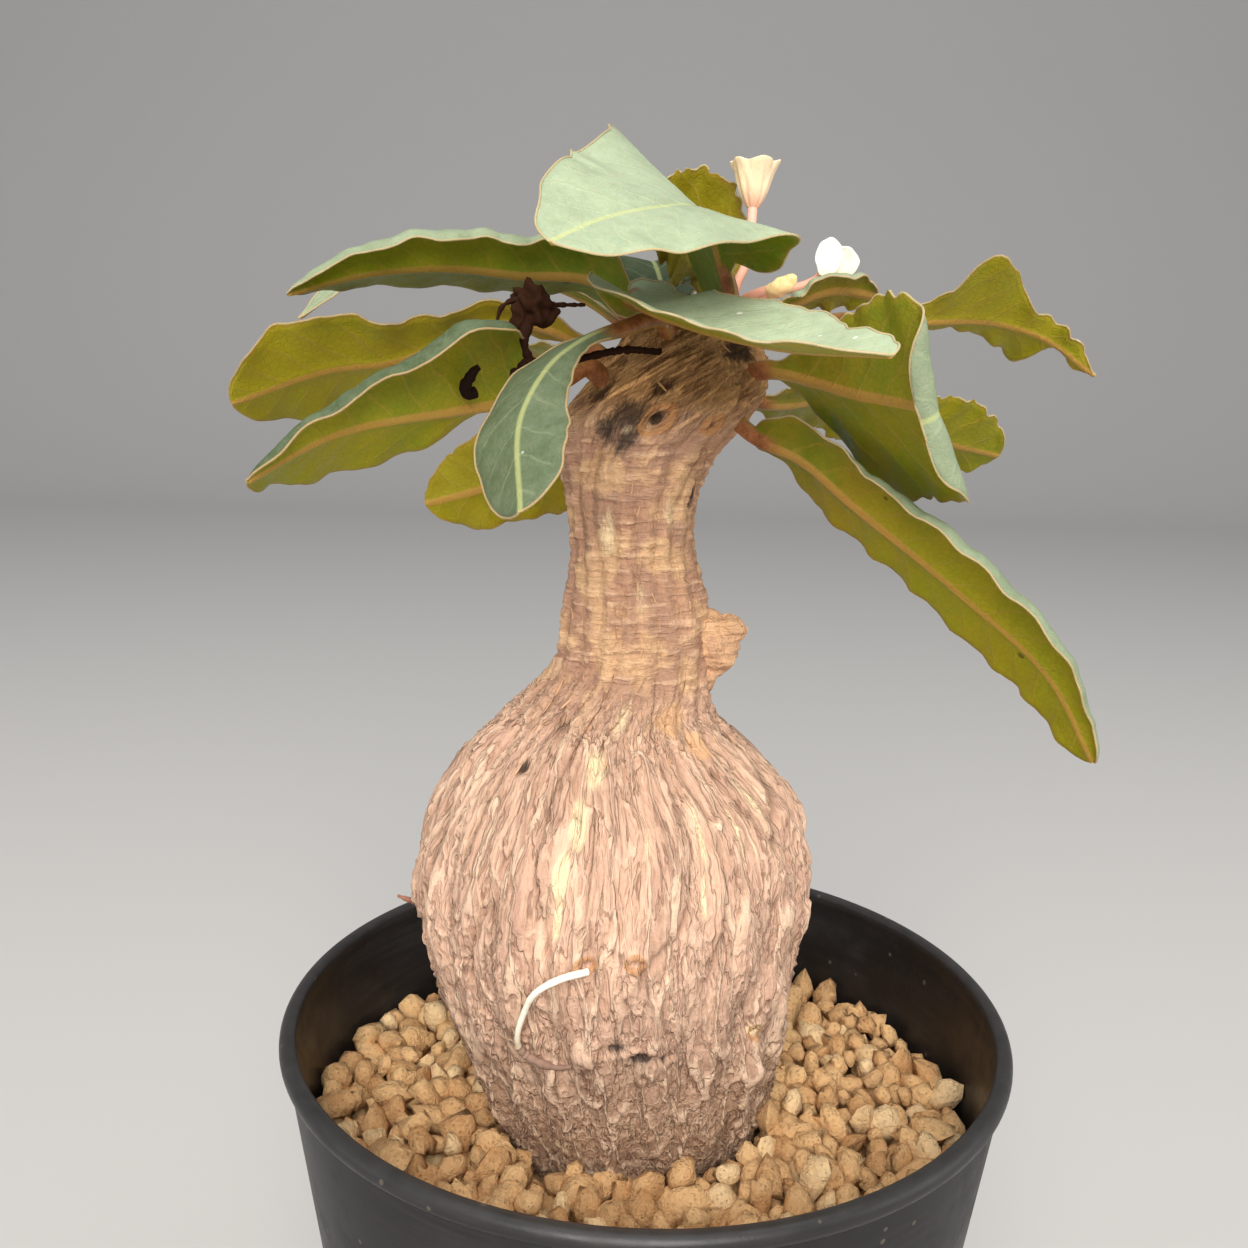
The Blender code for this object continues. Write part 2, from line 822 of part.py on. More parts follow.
def leaf_stations(leaf):
    """Places along the rib, closer together where the end rolls under."""
    if not leaf.rolled:
        return np.linspace(0.0, LEAF_TIP, LEAF_STATIONS + 1)
    flat = np.linspace(0.0, leaf.rolled[0], LEAF_STATIONS + 1 - ROLLED_STATIONS)
    end = np.linspace(leaf.rolled[0], LEAF_TIP, ROLLED_STATIONS + 1)
    return np.concatenate([flat, end[1:]])


def make_leaf(name, leaf, collection, material):
    """A bent sheet of triangles with a thicker rib, made solid about its middle."""
    knots, points = leaf_route(leaf)
    columns = len(LEAF_COLUMNS)
    work = bmesh.new()
    rows = []
    stations = leaf_stations(leaf)
    for along in stations:
        rows.append([
            work.verts.new(Vector(leaf_point(leaf, knots, points, along, across) * MM))
            for across in LEAF_COLUMNS
        ])
    for lower, upper in zip(rows, rows[1:]):
        for j in range(columns - 1):
            work.faces.new((lower[j], lower[j + 1], upper[j + 1], upper[j]))
    bmesh.ops.recalc_face_normals(work, faces=work.faces)
    bmesh.ops.triangulate(work, faces=work.faces)
    mesh = bpy.data.meshes.new(name)
    work.to_mesh(mesh)
    work.free()
    obj = new_object(name, mesh, collection, material)

    rib = obj.vertex_groups.new(name="rib")
    for i, along in enumerate(stations):
        for j, across in enumerate(LEAF_COLUMNS):
            stalk = 1 - ease(along, 0.05, 0.3)
            weight = max(stalk, (1 - 0.7 * along) * (1.0 if across == 0 else 0.0))
            rib.add([i * columns + j], weight, "REPLACE")
    shell = obj.modifiers.new("Thickness", "SOLIDIFY")
    shell.thickness = RIB_THICKNESS * MM
    shell.offset = 0.0
    shell.vertex_group = "rib"
    shell.thickness_vertex_group = BLADE_THICKNESS / RIB_THICKNESS
    smooth_shading(obj.data)
    return obj


# Flowers


def funnel(name, foot, reach, length, lobes, collection):
    """A hollow cup that opens upwards from its foot, its rim drawn out into lobes."""
    profile = [
        (0.0, 0.45 * length),
        (0.3 * reach, 0.5 * length),
        (0.62 * reach, 0.82 * length),
        (0.8 * reach, 1.0 * length),
        (0.95 * reach, 0.98 * length),
        (0.8 * reach, 0.78 * length),
        (0.6 * reach, 0.45 * length),
        (0.36 * reach, 0.15 * length),
        (0.15 * reach, 0.0),
        (0.0, 0.0),
    ]
    cup = settle(turned(name, profile, 4 * lobes, collection, None))
    for vertex in cup.data.vertices:
        turn = atan2(vertex.co.y, vertex.co.x)
        open_share = ease(vertex.co.z / MM, 0.5 * length, length)
        flare = 1 + open_share * (0.28 * cos(lobes * turn) ** 3 + 0.04)
        vertex.co.x *= flare
        vertex.co.y *= flare
        vertex.co.z += open_share * 0.5 * MM * cos(lobes * turn)
        vertex.co += Vector(np.asarray(foot, float) * MM)
    return cup


def make_upright_flower(collection, material):
    seat = caudex_point(15, 222.8) + caudex_normal(15, 222.8) * SEAT_GAP
    route = [seat, (10.8, 1.0, 227), (12.4, 1.4, 231), (12.8, 2.2, 235), (13.0, 3.0, 239.5)]
    flower = tube("flower_upright", route, 0.75, collection, material)
    pieces = new_collection("flower_upright_pieces")
    funnel("cup", (13.0, 3.0, 238.6), 3.4, 6.8, 5, pieces)
    return join_by_union(flower, pieces)


def make_white_flower(collection, material):
    seat = caudex_point(40, 221.0) + caudex_normal(40, 221.0) * SEAT_GAP
    route = [seat, (14, 4.5, 225.5), (19, 5.5, 227), (23.5, 5.5, 228.6), (25.6, 5.0, 230.6)]
    flower = tube("flower_white", route, 0.75, collection, material)
    pieces = new_collection("flower_white_pieces")
    lump("lobe_near", (24.8, 3.9, 232.4), (2.3, 1.3, 3.0), (10, 20, 25), pieces)
    lump("lobe_far", (27.4, 5.0, 231.8), (2.8, 1.3, 2.6), (-12, -25, 5), pieces)
    return join_by_union(flower, pieces)


def make_bud(collection, material):
    seat = caudex_point(325, 222.0) + caudex_normal(325, 222.0) * SEAT_GAP
    route = [seat, (11.2, -6.0, 224.4), (13.2, -8.4, 225.6), (15.4, -9.6, 226.2)]
    bud = tube("bud", route, 0.8, collection, material)
    pieces = new_collection("bud_pieces")
    lump("head", (16.4, -10.0, 226.6), (2.3, 1.6, 1.5), (0, -25, -25), pieces)
    return join_by_union(bud, pieces)


def make_dried_flower(collection, material):
    """A withered flower: a long bent stalk, a wrinkled cup and its hanging threads."""
    seat = caudex_point(250, 217.4) + caudex_normal(250, 217.4) * SEAT_GAP
    bend = (-18.3, -25.0, 215.2)
    cup = (-18.2, -22.4, 222.7)
    route = [seat, (-5.5, -14.4, 217.2), (-11.1, -21.0, 216.0), (-15.7, -24.0, 215.0), bend]
    flower = tube("flower_dried", route, 0.55, collection, material)
    pieces = new_collection("flower_dried_pieces")
    tube("neck", [bend, (-19.1, -24.8, 217.6), (-18.8, -23.6, 220.0), cup], 0.6, pieces, material)
    tube("tail", [bend, (-19.5, -26.5, 213.5), (-20.5, -27.0, 211.5)], 1.1, pieces, material)
    tube("style", [cup, (-16.1, -21.4, 222.8), (-11.3, -19.4, 223.0)], 0.45, pieces, material)
    thread = [cup, (-20.6, -22.6, 223.3), (-22.2, -22.8, 222.4), (-23.0, -23.0, 220.2)]
    tube("thread", thread, 0.45, pieces, material)
    lump("withered_cup", cup, (2.7, 2.3, 3.0), (10, -35, 0), pieces)
    return join_by_union(flower, pieces)


def below_leaf(leaf, along, across, clearance):
    """A point under the blade, a clearance away from its middle."""
    knots, points = leaf_route(leaf)
    step = 0.02
    here = leaf_point(leaf, knots, points, along, across)
    onward = leaf_point(leaf, knots, points, along + step, across) - here
    leftward = leaf_point(leaf, knots, points, along, across + step) - here
    return here - unit(np.cross(onward, leftward)) * clearance


def make_dried_hook(collection, material):
    """A withered style that hangs under a leaf and ends in a hook."""
    leaf = LEAVES["leaf_lower_left"]
    clearance = BLADE_THICKNESS / 2 + HOOK_RADIUS + HOOK_GAP
    route = [below_leaf(leaf, along, across, clearance) for along, across in HOOK_PLACES]
    return tube("dried_hook", route, HOOK_RADIUS, collection, material)


def make_fine_root(collection, material):
    """A thin white root that springs from a scar and arches down over the bark."""
    bends = (
        (265, 131.0, 1.1),
        (259, 130.6, 2.2),
        (253, 128.2, 3.0),
        (248, 123.6, 2.7),
        (244.5, 118.6, 1.7),
        (243.5, 116.4, 1.3),
    )
    route = [caudex_point(*bend) for bend in bends]
    return tube("fine_root", route, 0.5, collection, material)


# The whole plant in its pot


def main():
    clear_scene()
    plant = new_collection("Potted_euphorbia")
    cutters = new_collection("Cutters")
    cutters.hide_render = True

    black_plastic = plain_material("Black plastic", (0.016, 0.016, 0.017), 0.55)
    pumice = plain_material("Pumice", (0.46, 0.29, 0.14), 0.95)
    bark = plain_material("Bark", (0.36, 0.24, 0.16), 0.9)
    make_pot(plant, cutters, black_plastic)
    make_soil(plant, cutters, pumice)
    make_caudex(plant, bark)
    for name, leaf in LEAVES.items():
        green = plain_material(f"Leaf green {name}", (0.16, 0.24, 0.08), 0.5)
        make_leaf(name, leaf, plant, green)

    cream = plain_material("Cream flower", (0.78, 0.62, 0.44), 0.6)
    white = plain_material("White flower", (0.82, 0.8, 0.7), 0.6)
    withered = plain_material("Withered flower", (0.03, 0.015, 0.012), 0.9)
    pale_root = plain_material("Pale root", (0.75, 0.68, 0.55), 0.7)
    make_upright_flower(plant, cream)
    make_white_flower(plant, white)
    make_bud(plant, cream)
    make_dried_flower(plant, withered)
    make_dried_hook(plant, withered)
    make_fine_root(plant, pale_root)


main()
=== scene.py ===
"""Potted euphorbia, finished for looks: a bottle-stemmed seedling in a black nursery pot.

Sizes in the tables are in millimetres and become metres where a mesh is made. The origin is
the middle of the pot's underside, +Z is up and -Y is the front. Bearings are in degrees
about +Z: 0 is +X, 90 is away to +Y, 270 is the front.
"""

import json
from dataclasses import dataclass
from math import atan2, cos, exp, log, pi, radians, sin
from random import Random

import bmesh
import bpy
import numpy as np
from mathutils import Euler, Matrix, Vector, noise

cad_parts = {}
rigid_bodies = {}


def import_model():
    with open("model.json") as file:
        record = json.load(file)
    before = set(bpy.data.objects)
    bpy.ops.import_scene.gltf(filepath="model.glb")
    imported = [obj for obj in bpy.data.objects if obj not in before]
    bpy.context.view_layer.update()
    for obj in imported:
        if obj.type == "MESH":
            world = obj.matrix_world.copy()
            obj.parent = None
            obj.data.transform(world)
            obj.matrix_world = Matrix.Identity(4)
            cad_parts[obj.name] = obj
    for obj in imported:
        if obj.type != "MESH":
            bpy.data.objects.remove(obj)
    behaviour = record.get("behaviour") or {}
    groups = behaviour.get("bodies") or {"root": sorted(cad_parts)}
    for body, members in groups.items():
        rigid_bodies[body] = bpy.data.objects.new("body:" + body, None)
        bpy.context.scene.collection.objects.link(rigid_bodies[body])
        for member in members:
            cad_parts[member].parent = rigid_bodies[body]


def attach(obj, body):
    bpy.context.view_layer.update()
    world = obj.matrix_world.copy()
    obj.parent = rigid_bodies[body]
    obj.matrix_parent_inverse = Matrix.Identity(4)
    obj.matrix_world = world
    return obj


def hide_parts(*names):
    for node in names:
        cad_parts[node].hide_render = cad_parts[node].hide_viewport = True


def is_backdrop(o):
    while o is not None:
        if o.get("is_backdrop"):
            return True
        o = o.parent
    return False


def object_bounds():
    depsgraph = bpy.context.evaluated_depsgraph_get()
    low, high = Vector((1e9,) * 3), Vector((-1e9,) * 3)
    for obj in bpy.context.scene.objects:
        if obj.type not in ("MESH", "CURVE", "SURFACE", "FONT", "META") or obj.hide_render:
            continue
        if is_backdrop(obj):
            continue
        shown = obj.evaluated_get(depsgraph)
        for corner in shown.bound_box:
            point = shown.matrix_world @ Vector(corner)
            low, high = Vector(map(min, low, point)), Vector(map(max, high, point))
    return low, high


for leftover in list(bpy.data.objects):
    bpy.data.objects.remove(leftover)
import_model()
cad_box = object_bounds()

# Pot
# A 12 cm nursery pot, injection moulded in one piece from black polypropylene: a tapered
# wall, a rolled rim, a foot ring, a boss under the floor and six drain holes. It is matt,
# and handling and a little dust have dulled it. Its rim bead is lighter, partly from wear
# and partly as a painted highlight.

MM = 0.001
MERGE_WITHIN = 0.002
POT_HEIGHT = 110.0
RIM_RADIUS = 60.0
RIM_MOUTH = 57.3
BEAD_HEIGHT = 3.2
BEAD_POINTS = 14
BEAD_TURN = 170.0
WALL_SET_IN = 1.2
FOOT_RADIUS = 44.0
POT_WALL = 1.5
POT_FLOOR = 2.4
FOOT_WIDTH = 4.5
BOSS_RADIUS = 11.0
RECESS = 1.5
POT_SIDES = 160
# How far down from the top the rim is lightened, for wear and as a painted highlight
RIM_WEAR_AND_SHEEN = 2.4
DRAIN_HOLES = 6
DRAIN_RING = 25.0
DRAIN_RADIUS = 4.0
DRAIN_SIDES = 32
DRAIN_CUT = 20.0
SHARP_ANGLE = radians(40)


def wall_radius(height):
    """The outside radius of the pot's wall at a height."""
    top = RIM_RADIUS - WALL_SET_IN
    return FOOT_RADIUS + (top - FOOT_RADIUS) * height / (POT_HEIGHT - BEAD_HEIGHT)


def finished_mesh(name, work):
    """A mesh from worked geometry, its doubles merged and its faces outward."""
    bmesh.ops.remove_doubles(work, verts=work.verts, dist=MERGE_WITHIN * MM)
    bmesh.ops.recalc_face_normals(work, faces=work.faces)
    mesh = bpy.data.meshes.new(name)
    work.to_mesh(mesh)
    work.free()
    mesh.shade_smooth()
    return mesh


def turned(name, profile, sides):
    """A closed mesh turned about +Z from a profile of radius and height."""
    work = bmesh.new()
    row = [work.verts.new((radius * MM, 0.0, height * MM)) for radius, height in profile]
    edges = [work.edges.new(pair) for pair in zip(row, row[1:])]
    bmesh.ops.spin(
        work,
        geom=row + edges,
        axis=(0, 0, 1),
        cent=(0, 0, 0),
        steps=sides,
        angle=2 * pi,
        use_merge=True,
    )
    return finished_mesh(name, work)


def new_piece(name, mesh, material=None):
    """A mesh, lamp or camera as an object at the origin, with its material."""
    piece = bpy.data.objects.new(name, mesh)
    bpy.context.scene.collection.objects.link(piece)
    if material:
        mesh.materials.clear()
        mesh.materials.append(material)
    return piece


def plain_copy(piece):
    """The mesh of a piece as its modifiers leave it."""
    depsgraph = bpy.context.evaluated_depsgraph_get()
    return bpy.data.meshes.new_from_object(
        piece.evaluated_get(depsgraph), preserve_all_data_layers=True, depsgraph=depsgraph
    )


def rgb(red, green, blue):
    """The colour that shows with these 0 to 255 screen values."""
    shares = [value / 255 for value in (red, green, blue)]
    linear = [s / 12.92 if s <= 0.04045 else ((s + 0.055) / 1.055) ** 2.4 for s in shares]
    return (*linear, 1.0)


class Tree:
    """A node tree that grows node by node; an input takes a value or another output."""

    def __init__(self, tree):
        self.tree = tree

    def join(self, value, socket):
        self.tree.links.new(value, socket)

    def node(self, kind, inputs=(), **settings):
        made = self.tree.nodes.new(kind)
        for name, value in settings.items():
            setattr(made, name, value)
        for name, value in dict(inputs).items():
            if isinstance(value, bpy.types.NodeSocket):
                self.join(value, made.inputs[name])
            else:
                made.inputs[name].default_value = value
        return made

    def math(self, operation, first, second=0.0, clamp=False):
        inputs = {0: first, 1: second}
        return self.node("ShaderNodeMath", inputs, operation=operation, use_clamp=clamp).outputs[0]

    def plus(self, value, *others):
        for other in others:
            value = self.math("ADD", value, other)
        return value

    def minus(self, value, other, clamp=False):
        return self.math("SUBTRACT", value, other, clamp)

    def times(self, value, *factors):
        for factor in factors:
            value = self.math("MULTIPLY", value, factor)
        return value

    def ramp(self, value, low, high, start=0.0, end=1.0):
        """A smooth step from start at low to end at high."""
        inputs = {"Value": value, "From Min": low, "From Max": high, "To Min": start, "To Max": end}
        return self.node("ShaderNodeMapRange", inputs, interpolation_type="SMOOTHSTEP").outputs[0]

    def mix(self, share, first, second):
        """A colour between two, the second at a share of 1."""
        return self.node("ShaderNodeMix", {0: share, 6: first, 7: second}, data_type="RGBA").outputs[2]

    def coats(self, base, *coats):
        """A colour with others laid over it, each by a mask and its greatest share."""
        for mask, share, colour in coats:
            base = self.mix(self.times(mask, share), base, rgb(*colour))
        return base

    def scaled(self, vector, scale, shift=(0.0, 0.0, 0.0)):
        inputs = {0: vector, 1: scale, 2: shift}
        return self.node("ShaderNodeVectorMath", inputs, operation="MULTIPLY_ADD").outputs[0]

    def cloud(self, vector, scale, detail=2.0, roughness=0.5):
        """Soft noise: its value and its three-way drift."""
        inputs = {"Vector": vector, "Scale": scale, "Detail": detail, "Roughness": roughness}
        made = self.node("ShaderNodeTexNoise", inputs)
        return made.outputs[0], made.outputs[1]

    def cells(self, vector, scale, feature="F1"):
        """Random cells: the distance to their middle or edge, and each cell's own colour."""
        made = self.node("ShaderNodeTexVoronoi", {"Vector": vector, "Scale": scale}, feature=feature)
        return made.outputs[0], made.outputs[1]

    def field(self, name, output="Fac"):
        """A mesh's own field, read in a material."""
        return self.node("ShaderNodeAttribute", attribute_name=name).outputs[output]

    def stored(self, name, kind="FLOAT"):
        """A mesh's own field, read in a geometry tree."""
        return self.node("GeometryNodeInputNamedAttribute", {"Name": name}, data_type=kind).outputs[0]

    def placed(self, group, **values):
        """A group placed in a material with its own values; its first output."""
        return self.node("ShaderNodeGroup", values, node_tree=group).outputs[0]


SOCKETS = {"float": "NodeSocketFloat", "int": "NodeSocketInt", "vector": "NodeSocketVector"}
SOCKETS.update(geometry="NodeSocketGeometry", material="NodeSocketMaterial")
SOCKETS.update(collection="NodeSocketCollection")


def new_group(name, kind, inputs, outputs):
    """A node group with named inputs and outputs: its tree, its inputs and its end node."""
    group = bpy.data.node_groups.new(name, kind)
    for way, sockets in (("INPUT", inputs), ("OUTPUT", outputs)):
        for label, sort in sockets.items():
            group.interface.new_socket(label, in_out=way, socket_type=SOCKETS[sort])
    tree = Tree(group)
    return tree, tree.node("NodeGroupInput").outputs, tree.node("NodeGroupOutput").inputs


def new_material(name, **constants):
    """A material, its tree and its shader, uniform values set on the shader's sockets."""
    material = bpy.data.materials.new(name)
    material.use_nodes = True
    tree = Tree(material.node_tree)
    shader = material.node_tree.nodes["Principled BSDF"]
    for socket, value in constants.items():
        shader.inputs[socket.replace("_", " ")].default_value = value
    return material, tree, shader


def finish_shader(tree, shader, colour, roughness, relief):
    """Join a colour, a mask with the roughness at its ends, and a height with its bump."""
    mask, low, high = roughness
    height, depth, strength = relief
    bump = {"Height": height, "Distance": depth, "Strength": strength}
    tree.join(colour, shader.inputs["Base Color"])
    tree.join(tree.ramp(mask, 0.0, 1.0, low, high), shader.inputs["Roughness"])
    tree.join(tree.node("ShaderNodeBump", bump).outputs[0], shader.inputs["Normal"])


def mottle_group():
    """Uneven patches in two sizes, from 0 to 1."""
    inputs = {"Vector": "vector", "Scale": "float"}
    tree, given, end = new_group("Mottle", "ShaderNodeTree", inputs, {"Mask": "float"})
    coarse, _ = tree.cloud(given["Vector"], given["Scale"], 4.0, 0.6)
    fine, _ = tree.cloud(given["Vector"], tree.times(given["Scale"], 5.3), 3.0, 0.6)
    both = tree.plus(tree.times(coarse, 0.65), tree.times(fine, 0.35))
    tree.join(tree.ramp(both, 0.34, 0.66), end["Mask"])
    return tree.tree


def specks_group():
    """Small round specks in a share of random cells, 1 on a speck."""
    inputs = {"Vector": "vector", "Scale": "float", "Size": "float", "Share": "float"}
    tree, given, end = new_group("Specks", "ShaderNodeTree", inputs, {"Mask": "float"})
    reach, colour = tree.cells(given["Vector"], given["Scale"])
    chance = tree.node("ShaderNodeSeparateColor", {0: colour}).outputs[0]
    chosen = tree.math("LESS_THAN", chance, given["Share"])
    size = tree.times(given["Size"], tree.ramp(chance, 0.0, given["Share"], 0.35, 1.0))
    inside = tree.ramp(tree.minus(reach, size), 0.0, 0.06, 1.0, 0.0)
    tree.join(tree.times(inside, chosen), end["Mask"])
    return tree.tree


mottle = mottle_group()
specks = specks_group()


def object_place(tree, per_metre=1.0):
    """The place on the object, in metres or in parts of one."""
    place = tree.node("ShaderNodeTexCoord").outputs["Object"]
    return tree.scaled(place, (per_metre, per_metre, per_metre))


def pot_profile():
    bead = BEAD_HEIGHT / 2
    wall_top = POT_HEIGHT - BEAD_HEIGHT
    floor = POT_FLOOR + RECESS
    profile = [
        (0.0, floor),
        (wall_radius(floor) - POT_WALL - 1.0, floor),
        (wall_radius(floor + 1.0) - POT_WALL, floor + 1.0),
        (wall_radius(wall_top - 1.0) - POT_WALL, wall_top - 1.0),
        (wall_radius(wall_top) - POT_WALL + 0.1, wall_top),
        (RIM_MOUTH - 0.05, POT_HEIGHT - 0.9),
        (RIM_MOUTH + 0.15, POT_HEIGHT - 0.3),
        (RIM_MOUTH + 0.6, POT_HEIGHT),
    ]
    for k in range(BEAD_POINTS):
        turn = radians(90 - BEAD_TURN * k / (BEAD_POINTS - 1))
        profile.append((RIM_RADIUS - bead + bead * cos(turn), POT_HEIGHT - bead + bead * sin(turn)))
    profile += [
        (wall_radius(wall_top), wall_top - 0.25),
        (FOOT_RADIUS + 0.15, 1.3),
        (FOOT_RADIUS - 0.2, 0.4),
        (FOOT_RADIUS - 0.8, 0.0),
        (FOOT_RADIUS - FOOT_WIDTH, 0.0),
        (FOOT_RADIUS - FOOT_WIDTH - 1.0, RECESS),
        (BOSS_RADIUS + 1.0, RECESS),
        (BOSS_RADIUS, 0.0),
        (0.0, 0.0),
    ]
    return profile


def pot_mesh():
    """The turned pot with its drain holes cut."""
    pot = new_piece("pot_blank", turned("pot", pot_profile(), POT_SIDES))
    work = bmesh.new()
    for k in range(DRAIN_HOLES):
        turn = 2 * pi * k / DRAIN_HOLES
        place = Matrix.Translation((DRAIN_RING * MM * cos(turn), DRAIN_RING * MM * sin(turn), 0))
        bmesh.ops.create_cone(
            work,
            cap_ends=True,
            segments=DRAIN_SIDES,
            radius1=DRAIN_RADIUS * MM,
            radius2=DRAIN_RADIUS * MM,
            depth=DRAIN_CUT * MM,
            matrix=place,
        )
    drains = new_piece("drains", finished_mesh("drains", work))
    cut = pot.modifiers.new("Drain holes", "BOOLEAN")
    cut.operation = "DIFFERENCE"
    cut.object = drains
    mesh = plain_copy(pot)
    for tool in (pot, drains):
        bpy.data.objects.remove(tool)
    mesh.shade_smooth()
    mesh.set_sharp_from_angle(angle=SHARP_ANGLE)
    return mesh


def black_plastic_material():
    material, tree, shader = new_material("Black plastic", Specular_IOR_Level=0.45)
    place = object_place(tree)
    height = tree.node("ShaderNodeSeparateXYZ", {0: place}).outputs[2]
    patches = tree.placed(mottle, Vector=place, Scale=45.0)
    dust = tree.placed(specks, Vector=place, Scale=420.0, Size=0.16, Share=0.12)
    streaks, _ = tree.cloud(tree.scaled(place, (60.0, 60.0, 900.0)), 1.0, 3.0)
    rubbed_wear_and_sheen, _ = tree.cloud(tree.scaled(place, (300.0, 300.0, 900.0)), 1.0, 4.0)
    # The rim bead is lightened all round: partly real wear from handling, partly a painted highlight along
    # the bead.
    rim = tree.ramp(height, (POT_HEIGHT - RIM_WEAR_AND_SHEEN) * MM, POT_HEIGHT * MM)
    base = tree.coats(
        rgb(20, 18, 18),
        (tree.times(patches, tree.ramp(streaks, 0.35, 0.7)), 0.5, (46, 43, 41)),
        (dust, 0.35, (120, 108, 92)),
        (tree.times(rim, tree.ramp(rubbed_wear_and_sheen, 0.2, 0.8, 0.5, 1.0)), 0.22, (92, 90, 88)),
    )
    grain, _ = tree.cloud(place, 2600.0, 2.0)
    finish_shader(tree, shader, base, (patches, 0.36, 0.52), (grain, 0.00004, 0.6))
    return material


pot = new_piece("nursery_pot", pot_mesh(), black_plastic_material())
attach(pot, "root")
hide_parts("pot")

# Soil
# Sieved pumice of 3 to 7 mm poured dry round the stem, over a finer mix that fills the pot.
# The granules are tan to ochre, rounded off by tumbling, dusty and full of small pores.

SOIL_GAP = 0.45
SOIL_TOP = 91.5
SOIL_CROWN = 1.6
SOIL_SIDES = 96
MIX_BELOW = 5.5
STEM_AT_SOIL = (-2.7, 22.6)
BED_LEVELS = (-5.2, -3.0, -0.6, 1.3)
BED_SPACING = 3.5
BED_RINGS = 9
BED_FROM_WALL = 2.2
BED_FROM_STEM = (1.6, 2.4)
GRANULE_SIZE = (3.2, 7.4)
GRANULE_FLAT = 0.33
FLAT_WEAR = 0.8
GRANULE_DENSITY = 900000.0
GRANULE_SHAPES = 9
GRANULE_EDGE = radians(74)
SEED = 11
TINT_SEED = 9


def soil_height(radius):
    """The soil's surface, a little higher round the stem."""
    return SOIL_TOP + SOIL_CROWN * (1 - radius / RIM_RADIUS)


def soil_mix_mesh():
    """The fill of the pot, its top just under the granules."""
    floor = POT_FLOOR + RECESS + SOIL_GAP
    inset = POT_WALL + SOIL_GAP
    profile = [
        (0.0, soil_height(0.0) - MIX_BELOW),
        (wall_radius(SOIL_TOP) - inset, soil_height(RIM_RADIUS) - MIX_BELOW),
        (wall_radius(floor + 2.0) - inset, floor + 2.0),
        (wall_radius(floor) - inset - 1.5, floor),
        (0.0, floor),
    ]
    return turned("soil_mix", profile, SOIL_SIDES)


def granule_shape(k):
    """A tumbled lump about 1 m across, to be scaled where it is placed."""
    work = bmesh.new()
    bmesh.ops.create_cube(work, size=1.0)
    bmesh.ops.subdivide_edges(work, edges=work.edges[:], cuts=1, use_grid_fill=True)
    random = Random(SEED + k)
    shift = Vector([random.uniform(-40, 40) for _ in range(3)])
    flats = [Vector([random.uniform(-1, 1) for _ in range(3)]).normalized() for _ in range(3)]
    squash = Vector((1.12, random.uniform(0.82, 1.0), random.uniform(0.66, 0.86)))
    for vertex in work.verts:
        vertex.co = 0.5 * vertex.co.normalized()
        coarse = noise.noise(vertex.co * 3.4 + shift)
        fine = noise.noise(vertex.co * 7 - shift)
        vertex.co *= 1 + 0.6 * coarse + 0.3 * fine
        for flat in flats:
            vertex.co -= flat * max(vertex.co.dot(flat) - GRANULE_FLAT, 0.0) * FLAT_WEAR
        vertex.co *= squash
    return finished_mesh(f"granule_shape_{k}", work)


def bed_mesh():
    """Rings of surface in layers between the stem and the wall, for granules to lie on."""
    work = bmesh.new()
    middle, stem_radius = STEM_AT_SOIL
    for level in BED_LEVELS:
        outer = wall_radius(SOIL_TOP + level) - POT_WALL - SOIL_GAP - BED_FROM_WALL
        inner = stem_radius + BED_FROM_STEM[0 if level < 0 else 1]
        rings = []
        for share in np.linspace(0, 1, BED_RINGS):
            radius = inner + (outer - inner) * share
            ring = []
            for turn in np.linspace(0, 2 * pi, SOIL_SIDES + 1)[:-1]:
                x = middle * (1 - share) + radius * cos(turn)
                y = radius * sin(turn)
                ring.append(work.verts.new((x * MM, y * MM, (soil_height(radius) + level) * MM)))
            rings.append(ring)
        for low, high in zip(rings, rings[1:]):
            for j in range(SOIL_SIDES):
                i = (j + 1) % SOIL_SIDES
                work.faces.new((low[j], high[j], high[i], low[i]))
    mesh = bpy.data.meshes.new("granule_bed")
    work.to_mesh(mesh)
    work.free()
    return mesh


def geometry_group(name, inputs):
    """A geometry tree that takes a mesh, its inputs and a finish, and gives a mesh."""
    sockets = {"Geometry": "geometry", **inputs, "Finish": "material"}
    return new_group(name, "GeometryNodeTree", sockets, {"Geometry": "geometry"})


def dressed_group(tree, geometry, given, end):
    """The group, closed by making its instances real and giving them the finish."""
    real = tree.node("GeometryNodeRealizeInstances", {0: geometry}).outputs[0]
    dressed = tree.node("GeometryNodeSetMaterial", {"Geometry": real, "Material": given["Finish"]})
    tree.join(dressed.outputs[0], end["Geometry"])
    return tree.tree


def strewn(tree, given, points, rotation, count, size_seed, pick_seed):
    """Shapes picked and sized at random on points, each with a tint field of its own."""
    sizes = {2: given["Smallest"], 3: given["Largest"], 8: size_seed}
    picks = {4: 0, 5: count - 1, 8: pick_seed}
    shapes = {"Collection": given["Shapes"], "Separate Children": True, "Reset Children": True}
    laid = {
        "Points": points,
        "Instance": tree.node("GeometryNodeCollectionInfo", shapes).outputs[0],
        "Pick Instance": True,
        "Instance Index": tree.node("FunctionNodeRandomValue", picks, data_type="INT").outputs[2],
        "Rotation": rotation,
        "Scale": tree.node("FunctionNodeRandomValue", sizes).outputs[1],
    }
    instances = tree.node("GeometryNodeInstanceOnPoints", laid).outputs[0]
    tint = tree.node("FunctionNodeRandomValue", {8: TINT_SEED}).outputs[1]
    stored = {"Geometry": instances, "Name": "tint", "Value": tint}
    return tree.node("GeometryNodeStoreNamedAttribute", stored, domain="INSTANCE").outputs[0]


